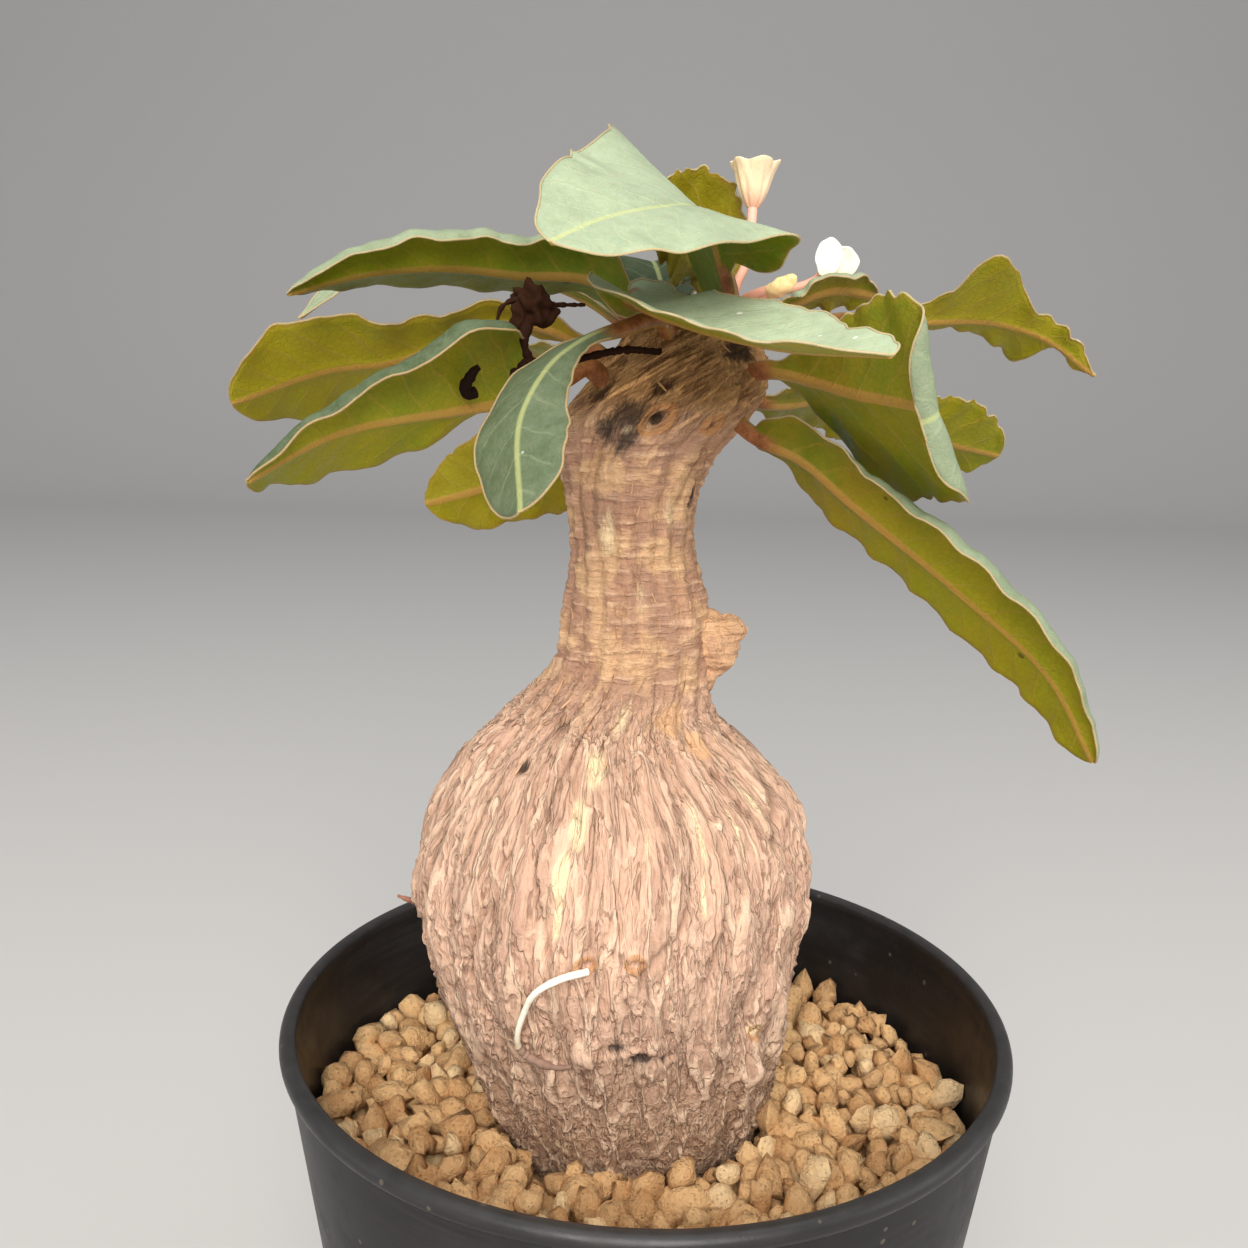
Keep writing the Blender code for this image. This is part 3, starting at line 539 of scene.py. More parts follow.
def granules_tree():
    """Lumps picked at random, laid at random over a surface, each with its own tint."""
    sizes = dict.fromkeys(("Spacing", "Smallest", "Largest"), "float")
    tree, given, end = geometry_group("Granules", {"Shapes": "collection", **sizes, "Seed": "int"})
    spread = {
        "Mesh": given["Geometry"],
        "Distance Min": given["Spacing"],
        "Density Max": GRANULE_DENSITY,
        "Seed": given["Seed"],
    }
    points = tree.node("GeometryNodeDistributePointsOnFaces", spread, distribute_method="POISSON")
    turns = {1: (2 * pi, 2 * pi, 2 * pi), 8: 5}
    turn = tree.node("FunctionNodeRandomValue", turns, data_type="FLOAT_VECTOR").outputs[0]
    lumps = strewn(tree, given, points.outputs["Points"], turn, GRANULE_SHAPES, 3, 7)
    return dressed_group(tree, lumps, given, end)


def grown(mesh, group, **values):
    """The plain mesh that a geometry tree makes of a mesh, with its inputs set by label."""
    base = new_piece("grown_base", mesh)
    modifier = base.modifiers.new(group.name, "NODES")
    modifier.node_group = group
    for item in group.interface.items_tree:
        if item.item_type == "SOCKET" and item.in_out == "INPUT" and item.name in values:
            modifier[item.identifier] = values[item.name]
    result = plain_copy(base)
    bpy.data.objects.remove(base)
    result.shade_smooth()
    return result


def shape_collection(name, make_shape, count):
    """Shapes kept out of the scene in a collection, for a tree to pick from."""
    shapes = bpy.data.collections.new(name)
    for k in range(count):
        shapes.objects.link(bpy.data.objects.new(f"{name}_{k}", make_shape(k)))
    return shapes


def remove_shapes(shapes):
    for shape in list(shapes.objects):
        bpy.data.objects.remove(shape)
    bpy.data.collections.remove(shapes)


def pumice_material(name, light, dark):
    material, tree, shader = new_material(name, Specular_IOR_Level=0.25)
    place = object_place(tree)
    tint = tree.field("tint")
    patches = tree.placed(mottle, Vector=place, Scale=330.0)
    pores = tree.placed(specks, Vector=place, Scale=1500.0, Size=0.34, Share=0.5)
    base = tree.coats(
        rgb(*light),
        (tree.ramp(tint, 0.0, 1.0), 1.0, dark),
        (tree.ramp(tint, 0.86, 0.9), 1.0, (250, 216, 166)),
        (patches, 0.5, (244, 204, 150)),
        (pores, 0.16, (128, 84, 44)),
    )
    rough, _ = tree.cloud(place, 620.0, 5.0, 0.7)
    height = tree.minus(rough, tree.times(pores, 0.6))
    finish_shader(tree, shader, base, (patches, 0.86, 0.97), (height, 0.0014, 1.0))
    return material


pumice = pumice_material("Pumice", (236, 190, 134), (190, 138, 88))
mix = pumice_material("Soil mix", (96, 66, 40), (80, 54, 34))
soil_mix = new_piece("soil_mix", soil_mix_mesh(), mix)
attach(soil_mix, "root")
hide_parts("soil")

lumps = shape_collection("granule", granule_shape, GRANULE_SHAPES)
bed = grown(
    bed_mesh(),
    granules_tree(),
    Shapes=lumps,
    Spacing=BED_SPACING * MM,
    Smallest=GRANULE_SIZE[0] * MM,
    Largest=GRANULE_SIZE[1] * MM,
    Seed=SEED,
    Finish=pumice,
)
bed.set_sharp_from_angle(angle=GRANULE_EDGE)
granules = new_piece("pumice_granules", bed, pumice)
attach(granules, "root")
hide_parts("soil")
remove_shapes(lumps)

# Stem
# The swollen, water-storing stem of the plant, bottle shaped, with a neck and a knobbly head.
# Its corky bark has split as it grew: pale raised lines run up it and join, over a pinkish
# ground. The neck is wrinkled, and the head combed and brown where old leaves have come off.

CAUDEX_FORM = (
    (60.0, -1.0, 0.0),
    (61.0, -1.0, 4.0),
    (66.0, -1.2, 8.5),
    (76.0, -1.8, 15.0),
    (86.0, -2.5, 20.5),
    (96.0, -3.0, 23.8),
    (108.0, -4.2, 26.9),
    (120.0, -5.5, 29.8),
    (131.0, -6.2, 31.3),
    (141.0, -5.9, 30.3),
    (149.0, -5.8, 27.0),
    (155.0, -6.6, 21.6),
    (161.0, -6.4, 15.6),
    (167.0, -4.0, 12.3),
    (177.0, -3.1, 11.1),
    (188.0, -3.9, 9.1),
    (197.0, -4.2, 10.0),
    (203.0, -3.3, 12.2),
    (208.0, -0.5, 13.5),
    (213.0, 2.7, 12.7),
    (217.0, 4.0, 11.0),
    (221.0, 4.6, 8.0),
    (223.6, 5.0, 4.4),
    (224.6, 5.0, 0.0),
)
RIDGES = 19
RIDGE_DEPTH = 0.75
NECK_RIDGE_DEPTH = 0.3
STEM_SEGMENTS = 300
STEM_RINGS = 322
BURIED_BELOW = 86.0
BURIED_SHARE = 0.25

# Marks that stand out: bearing, height, how far, and their half width and height
BARK_MARKS = (
    (183, 129, 1.6, 3.0, 2.6),
    (318, 109, 1.9, 2.6, 2.6),
    (262, 116, 1.1, 2.2, 1.8),
    (275, 116, 1.0, 2.0, 1.8),
    (236, 202, -2.2, 3.2, 5.0),
    (272, 204, 1.3, 2.4, 2.4),
    (305, 203, 0.8, 2.0, 1.6),
    (196, 156, 2.2, 4.0, 3.0),
    (272, 171, 0.6, 2.4, 3.0),
)

# Ring scars of shed roots and twigs: bearing, height, radius, how far the ring stands out
RING_SCARS = (
    (269, 207.6, 2.1, 1.1),
    (307, 207.0, 1.1, 0.6),
    (264, 131.6, 1.2, 0.8),
    (277, 132.2, 1.1, 0.7),
    (317, 115.5, 1.0, 0.5),
)
SCAR_RING_WIDTH = 0.45
SCAR_HOLLOW = 1.2
SCAR_HOLLOW_REACH = 1.6

# Furrows over the shoulders: heights between which they grow and fade, how close and wide
FURROW_HEIGHTS = (112.0, 142.0, 158.0, 173.0)
FURROW_SPREAD = 3.4
FURROW_WIDTH = 0.055
FURROW_DEPTH = 1.1
FURROW_STRETCH = 0.035

# Nets of corky lines: how many, how wide, how upright, strength where faded and where full
LINE_NETS = ((0.27, 0.07, 0.4, 0.35, 1.0), (0.85, 0.12, 1.0, 0.6, 0.2))
COMB_LEAN = 0.55

# How far each part of the bark's fine relief stands out or goes in
BARK_DEPTHS = {
    "Line height": 0.6 * MM,
    "Crack depth": 0.45 * MM,
    "Wrinkle depth": 0.45 * MM,
    "Fibre depth": 0.55 * MM,
    "Crumb depth": 0.35 * MM,
    "Hollow depth": 1.1 * MM,
}

# Coloured marks: bearing, height, half width, half height, strength
PALE_MARKS = (
    (264, 156.5, 2.0, 3.2, 0.75),
    (259, 150.0, 1.5, 3.6, 0.95),
    (255.5, 143.5, 1.2, 3.6, 1.2),
    (256, 137.5, 0.9, 3.2, 1.0),
    (248, 190, 2.2, 6.5, 0.5),
    (307, 193, 1.8, 4.6, 0.5),
    (273, 181, 1.7, 4.6, 0.46),
    (273, 163, 1.8, 4.4, 0.55),
    (298, 148, 0.6, 5.0, 0.8),
    (296, 140, 0.6, 5.0, 0.7),
    (312, 147, 0.6, 5.0, 0.9),
    (323, 151, 1.0, 4.0, 0.7),
    (280, 148, 1.6, 3.6, 0.45),
    (317, 116, 2.0, 1.2, 0.8),
    (253, 206, 0.9, 0.9, 0.9),
    (247, 97, 2.0, 1.2, 0.6),
)
PEELED_MARKS = (
    (306, 162.5, 3.0, 2.6, 1.0),
    (318, 158.5, 2.2, 2.4, 0.8),
    (275, 176, 2.0, 4.0, 0.5),
)
# Dark marks: partly the bark's own dark spots, partly painted shade in the sunk hollows of old scars on the
# head and in the middle of the ring scars.
DARK_MARKS = (
    (231, 156, 1.2, 1.0, 1.0),
    (271, 117.5, 1.5, 0.9, 1.0),
    (278, 115.5, 2.0, 1.1, 1.2),
    (285, 115.4, 1.3, 0.8, 0.9),
    (214, 211, 2.6, 2.6, 0.9),
    (238, 206, 3.2, 3.4, 0.9),
    (249, 208, 4.0, 3.6, 0.95),
    (256, 204.5, 3.0, 3.0, 0.9),
    (258, 212, 2.6, 2.2, 0.8),
    (312, 217.6, 4.2, 1.9, 1.2),
    (300, 220.5, 3.0, 1.6, 0.8),
    (340, 196, 1.4, 2.8, 0.9),
    (269, 207.6, 1.1, 1.1, 1.0),
    (286, 203.5, 2.0, 0.5, 0.5),
    (307, 207.0, 0.5, 0.5, 0.8),
    (264, 131.6, 0.5, 0.5, 0.7),
    (277, 132.2, 0.45, 0.45, 0.7),
)


def smooth(at, knots, values):
    """The values at places on a smooth curve through the values at the knots."""
    at, knots, values = (np.asarray(a, float) for a in (at, knots, values))
    slopes = np.gradient(values, knots, axis=0)
    k = np.clip(np.searchsorted(knots, at) - 1, 0, len(knots) - 2)
    span = knots[k + 1] - knots[k]
    u = (at - knots[k]) / span
    if values.ndim > 1:
        u, span = u[..., None], span[..., None]
    start = (1 + 2 * u) * (1 - u) ** 2 * values[k] + u * (1 - u) ** 2 * span * slopes[k]
    end = u * u * (3 - 2 * u) * values[k + 1] - u * u * (1 - u) * span * slopes[k + 1]
    return start + end


def ease(value, low, high):
    """0 below low, 1 above high and smooth between."""
    u = np.clip((np.asarray(value, float) - low) / (high - low), 0.0, 1.0)
    return u * u * (3 - 2 * u)


def unit(vector):
    return vector / np.linalg.norm(vector, axis=-1, keepdims=True)


def outward(bearing):
    """The level direction of a bearing."""
    turn = np.radians(bearing)
    return np.stack([np.cos(turn), np.sin(turn), np.zeros_like(turn)], axis=-1)


FORM_HEIGHTS = [row[0] for row in CAUDEX_FORM]
FORM_SHAPE = [row[1:] for row in CAUDEX_FORM]


def stem_section(height):
    """The sideways place and the radius of the stem at a height."""
    shape = smooth(height, FORM_HEIGHTS, FORM_SHAPE)
    return shape[..., 0], np.maximum(shape[..., 1], 0.0)


def across_mark(bearing, height, mark_bearing, mark_height):
    """How far a place on the stem lies across and above a mark."""
    away = (bearing - mark_bearing + 180) % 360 - 180
    return np.radians(away) * stem_section(height)[1], height - mark_height


def bark_relief(bearing, height):
    """How far the bark stands out from the plain form."""
    turn = np.radians(bearing)
    body = ease(height, 84, 100) * (1 - ease(height, 152, 170))
    neck = ease(height, 152, 170) * (1 - ease(height, 214, 222))
    drift = 1.4 * np.sin(height / 11 + 2 * turn) + 0.9 * np.sin(height / 6 - 3 * turn)
    ridge = np.cos(RIDGES * turn + drift) + 0.5 * np.cos((RIDGES - 8) * turn - 1.6 * drift)
    relief = (RIDGE_DEPTH * body + NECK_RIDGE_DEPTH * neck) * ridge
    for mark_bearing, mark_height, rise, half_width, half_height in BARK_MARKS:
        across, along = across_mark(bearing, height, mark_bearing, mark_height)
        relief = relief + rise * np.exp(-((across / half_width) ** 2) - (along / half_height) ** 2)
    return relief


def stem_point(bearing, height, clearance=0.0):
    """A point on the bark, or a clearance out from it."""
    bearing, height = np.asarray(bearing, float), np.asarray(height, float)
    middle, radius = stem_section(height)
    shrink = np.minimum(radius / 6.0, 1.0)
    reach = radius + bark_relief(bearing, height) * shrink + clearance
    axis = np.stack([middle, np.zeros_like(middle), height + np.zeros_like(middle)], axis=-1)
    return axis + outward(bearing) * reach[..., None]


def stem_normal(bearing, height):
    """The direction straight out of the plain form."""
    step = 0.5
    lower = stem_section(height - step)
    upper = stem_section(height + step)
    rise = np.array([upper[0] - lower[0], 0.0, 2 * step]) + outward(bearing) * (upper[1] - lower[1])
    return unit(np.cross(outward(bearing + 90), rise))


def ring_heights():
    """Heights of the rings, evenly spaced over the surface and wider apart in the soil."""
    fine = np.linspace(FORM_HEIGHTS[0], FORM_HEIGHTS[-1], 6000)
    radius = stem_section(fine)[1]
    step = np.hypot(np.diff(fine), np.diff(radius))
    step *= np.where(fine[1:] < BURIED_BELOW, BURIED_SHARE, 1.0)
    length = np.concatenate([[0.0], np.cumsum(step)])
    return np.interp(np.linspace(0, length[-1], STEM_RINGS + 1), length, fine)


def mark_field(bearing, height, marks):
    """Strength of coloured marks at places on the stem."""
    field = np.zeros(np.broadcast(bearing, height).shape)
    for mark_bearing, mark_height, half_width, half_height, strength in marks:
        across, along = across_mark(bearing, height, mark_bearing, mark_height)
        spot = strength * np.exp(-((across / half_width) ** 2) - (along / half_height) ** 2)
        field = np.maximum(field, spot)
    return field


def furrow_field(bearings, heights):
    """Wandering furrows that gather at the neck and fade out down the bulge."""
    start, full, fading, gone = FURROW_HEIGHTS
    field = np.zeros(np.broadcast(bearings, heights).shape)
    for i, height in enumerate(np.ravel(heights)):
        reach = ease(height, start, full) * (1 - ease(height, fading, gone))
        if reach <= 0:
            continue
        for j, bearing in enumerate(np.ravel(bearings)):
            turn = radians(bearing)
            around = (FURROW_SPREAD * cos(turn), FURROW_SPREAD * sin(turn))
            drift = noise.noise(Vector((*around, FURROW_STRETCH * height)))
            field[i, j] = reach * exp(-((drift / FURROW_WIDTH) ** 2))
    return field


def bark_grain(bearing, height):
    """Where the bark's pattern is read, so that its lines run up and gather at the neck."""
    girth = 30 - 12 * ease(height, 156, 176)
    stretch = np.interp(FORM_HEIGHTS, (60, 96, 122, 150, 165, 225), (1.1, 1.0, 0.3, 0.2, 0.4, 0.6))
    rise = np.concatenate([[0.0], np.cumsum(np.diff(FORM_HEIGHTS) * stretch[1:])])
    place = outward(bearing + 0 * height) * girth[..., None]
    place[..., 2] = np.interp(height, FORM_HEIGHTS, rise)
    return place


def add_field(mesh, name, values):
    """Store a value or a vector for each vertex."""
    kind = "FLOAT_VECTOR" if np.ndim(values) == 2 else "FLOAT"
    field = mesh.attributes.new(name, kind, "POINT")
    field.data.foreach_set("vector" if kind == "FLOAT_VECTOR" else "value", np.ravel(values))


def ring_faces(rings, count):
    """Faces between closed rings of points that are numbered ring by ring."""
    faces = []
    for low in range(0, (rings - 1) * count, count):
        for j in range(count):
            k = (j + 1) % count
            faces.append((low + j, low + k, low + count + k, low + count + j))
    return faces


def stem_mesh():
    """The stem's form with its marks and scars, closed at both ends, and its bark fields."""
    heights = ring_heights()[1:-1][:, None]
    bearings = np.arange(STEM_SEGMENTS)[None, :] * 360.0 / STEM_SEGMENTS
    rise = np.zeros((len(heights), STEM_SEGMENTS))
    rings = np.zeros_like(rise)
    for scar_bearing, scar_height, radius, proud in RING_SCARS:
        across, along = across_mark(bearings, heights, scar_bearing, scar_height)
        away = np.hypot(across, along)
        ring = np.exp(-(((away - radius) / SCAR_RING_WIDTH) ** 2))
        hollow = np.exp(-((away / radius * SCAR_HOLLOW_REACH) ** 2))
        rise += proud * ring - SCAR_HOLLOW * proud * hollow
        rings = np.maximum(rings, ring)
    furrows = furrow_field(bearings, heights)
    rise -= FURROW_DEPTH * furrows
    points = stem_point(bearings + 0 * heights, heights + 0 * bearings, rise).reshape(-1, 3)
    end_heights = [FORM_HEIGHTS[0], FORM_HEIGHTS[-1]]
    points = np.vstack([points, [stem_point(0.0, height) for height in end_heights]]) * MM
    foot, top = len(points) - 2, len(points) - 1
    last = foot - STEM_SEGMENTS
    faces = ring_faces(len(heights), STEM_SEGMENTS)
    for j in range(STEM_SEGMENTS):
        k = (j + 1) % STEM_SEGMENTS
        faces += [(foot, k, j), (top, last + j, last + k)]
    mesh = bpy.data.meshes.new("stem")
    mesh.from_pydata(points.tolist(), [], faces)

    bearing = np.append(np.broadcast_to(bearings, rise.shape).ravel(), [0.0, 0.0])
    height = np.append(np.broadcast_to(heights, rise.shape).ravel(), end_heights)
    add_field(mesh, "grain", bark_grain(bearing, height))
    add_field(mesh, "neck", ease(height, 158, 170) * (1 - ease(height, 203, 212)))
    add_field(mesh, "head", ease(height, 203, 212))
    for name, marks in (("pale", PALE_MARKS), ("peeled", PEELED_MARKS), ("dark", DARK_MARKS)):
        add_field(mesh, name, mark_field(bearing, height, marks))
    for name, values in (("ring", rings), ("furrow", furrows)):
        add_field(mesh, name, np.append(values.ravel(), [0.0, 0.0]))
    return mesh


def bark_pattern(tree, grain, place):
    """The bark's relief, made alike for its shape and for its colour.

    grain is where the lines are read and place the point in millimetres. It gives the corky
    lines, the cracks together with the bands beside the corky lines, the neck's wrinkles, the
    head's fibres and a fine crumb, each 0 to 1. The bands are sunk in the shape and painted
    dark in the colour as painted shadow.
    """
    _, drift = tree.cloud(grain, 0.3, 3.0)
    moved = tree.scaled(drift, (4.2, 4.2, 2.2), grain)
    fade, _ = tree.cloud(grain, 0.21, 2.0)
    lines = shades = None
    for density, width, tall, low, high in LINE_NETS:
        away, _ = tree.cells(tree.scaled(moved, (1.0, 1.0, tall)), density, "DISTANCE_TO_EDGE")
        strength = tree.ramp(fade, 0.36, 0.58, low, high)
        line = tree.times(tree.ramp(away, 0.4 * width, width, 1.0, 0.0), strength)
        # The bands on both sides of a corky line, where its shadow falls: painted shadow in the colour.
        beside = tree.math("ABSOLUTE", tree.minus(away, 1.5 * width))
        shade = tree.times(tree.ramp(beside, 0.0, 0.6 * width, 1.0, 0.0), strength)
        lines = tree.math("MAXIMUM", lines, line) if lines else line
        shades = tree.math("MAXIMUM", shades, shade) if shades else shade
    split, _ = tree.cloud(tree.scaled(moved, (1.5, 1.5, 1.2), (31.0, 7.0, 3.0)), 0.3, 4.0)
    split = tree.ramp(tree.math("ABSOLUTE", tree.minus(split, 0.5)), 0.0, 0.028, 1.0, 0.0)
    cracks_and_shade_lines = tree.math("MAXIMUM", split, tree.times(shades, 0.45))
    folds, _ = tree.cloud(tree.scaled(place, (0.17, 0.17, 0.95)), 1.0, 5.0, 0.6)
    wrinkles = tree.ramp(folds, 0.35, 0.65)
    combing = {"Vector": place, "Angle": COMB_LEAN}
    combed = tree.node("ShaderNodeVectorRotate", combing, rotation_type="Y_AXIS").outputs[0]
    strands, _ = tree.cloud(tree.scaled(combed, (0.05, 0.7, 1.35)), 1.0, 5.0, 0.55)
    fibres = tree.ramp(strands, 0.38, 0.62)
    crumb, _ = tree.cloud(tree.scaled(moved, (1.0, 1.0, 0.8)), 1.3, 5.0, 0.72)
    return lines, cracks_and_shade_lines, wrinkles, fibres, crumb


def bark_tree():
    """Raises the bark's relief from the plain form, by named depths."""
    tree, given, end = geometry_group("Bark", dict.fromkeys(BARK_DEPTHS, "float"))
    place = tree.scaled(tree.node("GeometryNodeInputPosition").outputs[0], (1 / MM,) * 3)
    grain = tree.stored("grain", "FLOAT_VECTOR")
    lines, cracks_and_shade_lines, wrinkles, fibres, crumb = bark_pattern(tree, grain, place)
    head, neck = tree.stored("head"), tree.stored("neck")
    body = tree.minus(1.0, tree.plus(tree.times(neck, 0.85), head), clamp=True)
    rough = tree.minus(1.0, tree.times(tree.stored("peeled"), 0.85))
    relief = tree.plus(
        tree.times(lines, body, given["Line height"]),
        tree.times(cracks_and_shade_lines, body, given["Crack depth"], -1.0),
        tree.times(wrinkles, neck, given["Wrinkle depth"]),
        tree.times(fibres, head, given["Fibre depth"]),
        tree.times(crumb, given["Crumb depth"]),
        tree.times(tree.stored("dark"), given["Hollow depth"], -1.0),
    )
    shift = {0: tree.node("GeometryNodeInputNormal").outputs[0], 3: tree.times(relief, rough)}
    shift = tree.node("ShaderNodeVectorMath", shift, operation="SCALE").outputs[0]
    moved = tree.node("GeometryNodeSetPosition", {"Geometry": given["Geometry"], "Offset": shift})
    return dressed_group(tree, moved.outputs[0], given, end)


def bark_material():
    material, tree, shader = new_material("Bark", Specular_IOR_Level=0.2)
    place = object_place(tree, 1 / MM)
    height = tree.node("ShaderNodeSeparateXYZ", {0: place}).outputs[2]
    grain, neck, head = tree.field("grain", "Vector"), tree.field("neck"), tree.field("head")
    lines, cracks_and_shade_lines, wrinkles, fibres, crumb = bark_pattern(tree, grain, place)
    patches = tree.placed(mottle, Vector=grain, Scale=0.14)
    flecks = tree.placed(mottle, Vector=grain, Scale=0.9)
    broad, drift = tree.cloud(place, 0.16, 3.0)
    body = tree.coats(
        rgb(232, 188, 162),
        (patches, 1.0, (184, 144, 124)),
        (flecks, 0.5, (230, 192, 162)),
        (tree.ramp(crumb, 0.5, 0.68), 0.5, (160, 118, 90)),
        # Painted shade: darker below the bulge's widest part, where the bark turns down towards the soil.
        (tree.ramp(height, 128.0, 96.0), 0.75, (150, 120, 94)),
        # Dark cracks, and painted shadow in the bands beside the corky lines.
        (cracks_and_shade_lines, 0.5, (116, 82, 60)),
        (lines, 0.6, (242, 210, 180)),
    )

    moved_place = tree.scaled(drift, (9.0, 9.0, 9.0), place)
    plates, _ = tree.cells(tree.scaled(moved_place, (1.0, 1.0, 0.7)), 0.09, "DISTANCE_TO_EDGE")
    skin = tree.coats(
        rgb(214, 166, 134),
        (patches, 1.0, (190, 150, 126)),
        (tree.ramp(broad, 0.46, 0.6), 1.0, (234, 190, 146)),
        # Painted shade in the folds of the neck's wrinkles.
        (tree.ramp(wrinkles, 0.6, 0.2), 0.32, (164, 122, 98)),
        (tree.ramp(plates, 0.0, 0.03, 1.0, 0.0), 0.3, (142, 98, 70)),
        (tree.ramp(wrinkles, 0.75, 1.0), 0.32, (238, 202, 166)),
    )
    strands = tree.coats(
        rgb(104, 66, 38),
        (fibres, 1.0, (226, 172, 112)),
        (tree.ramp(broad, 0.42, 0.62, 0.1, 0.7), 1.0, (196, 150, 98)),
    )
    colour = tree.mix(neck, body, skin)
    # Painted shade in the furrows over the shoulders.
    colour = tree.coats(colour, (tree.field("furrow"), 0.55, (112, 80, 60)))
    colour = tree.mix(head, colour, strands)

    ragged = tree.plus(tree.times(crumb, 0.6), -0.3)
    peeled = tree.ramp(tree.plus(tree.field("peeled"), ragged), 0.35, 0.6)
    pale = tree.ramp(tree.plus(tree.field("pale"), ragged), 0.3, 0.6)
    ring = tree.ramp(tree.plus(tree.field("ring"), ragged), 0.3, 0.7)
    dark = tree.ramp(tree.plus(tree.field("dark"), tree.times(ragged, 2.2)), 0.25, 0.9)
    colour = tree.coats(colour, (peeled, 0.85, (230, 182, 138)), (pale, 0.85, (252, 228, 184)))
    # Under the dark marks: the bark's own dark spots, and painted shade in the hollows of the scars on the
    # head and at the ring scars.
    shade = tree.mix(head, rgb(62, 54, 50), rgb(44, 27, 15))
    colour = tree.mix(tree.times(dark, 0.9), colour, shade)
    colour = tree.coats(colour, (ring, 0.66, (190, 132, 76)))

    fine, _ = tree.cloud(place, 2.2, 4.0, 0.6)
    corky = tree.minus(lines, tree.times(cracks_and_shade_lines, 0.7))
    relief = tree.plus(
        tree.times(corky, tree.minus(1.0, tree.times(neck, 0.8)), 0.7),
        tree.times(crumb, 0.8),
        tree.times(wrinkles, neck, 0.9),
        tree.times(fibres, head),
        tree.times(fine, 0.45),
    )
    finish_shader(tree, shader, colour, (flecks, 0.78, 0.95), (relief, 0.0006, 0.9))
    return material


bark = bark_material()
bark_relief_tree = bark_tree()
stem = new_piece("bottle_stem", grown(stem_mesh(), bark_relief_tree, Finish=bark, **BARK_DEPTHS), bark)
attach(stem, "root")
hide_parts("caudex")

# Stub
# What is left of a dead side branch on the right of the neck: layered, corky and pale, with
# a small burl under it. It grew out of the stem, so it is rooted in it.

STUB_BEARING = 352.0
STUB_HEIGHT = 172.5

# Lumps: how far out and up from the stub's place, radii, lean
STUB_LUMPS = (
    ((0.7, 0.0), (4.4, 3.6, 5.0), -25),
    ((-0.6, -5.5), (2.2, 2.4, 3.6), 10),
    ((3.6, 2.2), (2.4, 2.6, 2.2), 0),
)


def rounded_lumps(lumps, fineness):
    """Balls stretched to their radii, each a centre, radii, lean and bearing."""
    work = bmesh.new()
    for centre, radii, lean, bearing in lumps:
        size = Matrix.Diagonal((*[radius * MM for radius in radii], 1.0))
        spin = Euler((0, radians(lean), radians(bearing))).to_matrix().to_4x4()
        place = Matrix.Translation(Vector(centre) * MM) @ spin @ size
        bmesh.ops.create_icosphere(work, subdivisions=fineness, radius=1.0, matrix=place)
    return work


def knob_mesh(name, lumps):
    """Rounded lumps worn into layers, with bark fields."""
    work = rounded_lumps(lumps, 5)
    for vertex in work.verts:
        at = vertex.co / MM
        layers = noise.noise(Vector((at.x * 0.3, at.y * 0.3, at.z * 1.3)))
        lumpy = noise.noise(at * 0.45 + Vector((5, 5, 5)))
        normal = vertex.normal if vertex.normal.length else Vector((0, 0, 1))
        vertex.co += normal * MM * (0.6 * lumpy + 0.4 * layers)
    mesh = finished_mesh(name, work)
    points = np.array([vertex.co / MM for vertex in mesh.vertices])
    add_field(mesh, "grain", points * (1.3, 1.3, 0.6))
    for label in ("neck", "head", "pale", "peeled", "dark", "ring", "furrow"):
        add_field(mesh, label, np.full(len(points), {"neck": 0.8, "peeled": 0.5}.get(label, 0.0)))
    return mesh


stub_places = []
for (reach, rise), radii, lean in STUB_LUMPS:
    centre = stem_point(STUB_BEARING, STUB_HEIGHT + rise, reach)
    stub_places.append((centre, radii, lean, STUB_BEARING))
stub_mesh = grown(knob_mesh("stub", stub_places), bark_relief_tree, Finish=bark, **BARK_DEPTHS)
stub = new_piece("dead_branch_stub", stub_mesh, bark)
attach(stub, "root")
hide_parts("caudex")

# Leaves
# Leathery leaves in a tuft, with wavy margins edged in pinkish tan. Their upper side has a
# blue-grey waxy bloom and a pale midrib; the underside is olive with an orange-pink rib.
# How much bloom each leaf shows is partly painted light and shade: more on leaves in light,
# less on leaves in shade. Each grows on a short stalk from the head.

SEAT_SUNK = -0.8
SEAT_RISE = 2.6
BLADE_THICKNESS = 0.45
RIB_RISE = 0.9
STALK_THICKNESS = 2.1
STALK_HALF_WIDTH = 1.3
EDGE_HALF_WIDTH = 0.25
EDGE_TAPER = 0.8
EDGE_THINNEST = 0.35
STALK_THINNEST = 0.3
LEAF_STATIONS = 120
LEAF_COLUMNS = 32
COLUMN_CROWDING = 0.92
LEAF_TIP = 0.999
TIP_CROWDING = -0.75
FOLD_STEPS = 8
ROLL_LIMIT = 135.0
VEIN_SPACING = 5.2
VEIN_SLANT = 0.75
VEIN_SWELL = 0.14
RIB_GROOVE = 0.25
RIB_STEP = 0.02
LEAF_RIM = 0.17
RIM_SIDES = 6
RIM_MARK = 0.75
EDGE_TURN = 0.6
TINY = 1e-6
WAVE_DEPTH = 0.5


@dataclass
class Leaf:
    """One leaf: where it sits, the route of its rib and the form of its blade.

    seat is the bearing and height of its base on the head, and route the points that the
    rib passes, the last one being the tip. Left and right are as seen looking out along the
    heading. roll lifts the left side, at the base and at the tip. fold and curl bend the
    left and the right half upwards, curl mostly near the edge. stalk is the share of the
    rib that has no blade. A lobe is a side (1 left, -1 right), a place along the rib, a
    reach and a spread. rolled is the share from which the end rolls under, and the radius
    of that roll. The last field gives how much bloom its upper side has and how olive its
    underside is; the bloom is partly the leaf's own and partly painted light and shade,
    more on leaves in light and less on leaves in shade.
    """

    seat: tuple
    route: tuple
    heading: float
    width: float
    roll: tuple = (0, 0)
    fold: tuple = (5, 5)
    curl: tuple = (0, 0)
    widest: float = 0.62
    fullness: float = 0.75
    wave: float = 1.0
    waves: float = 6
    shift: float = 0.0
    teeth: float = 0.4
    stalk: float = 0.05
    lobes: tuple = ()
    rolled: tuple = ()
    tone: tuple = (0.6, 0.6)


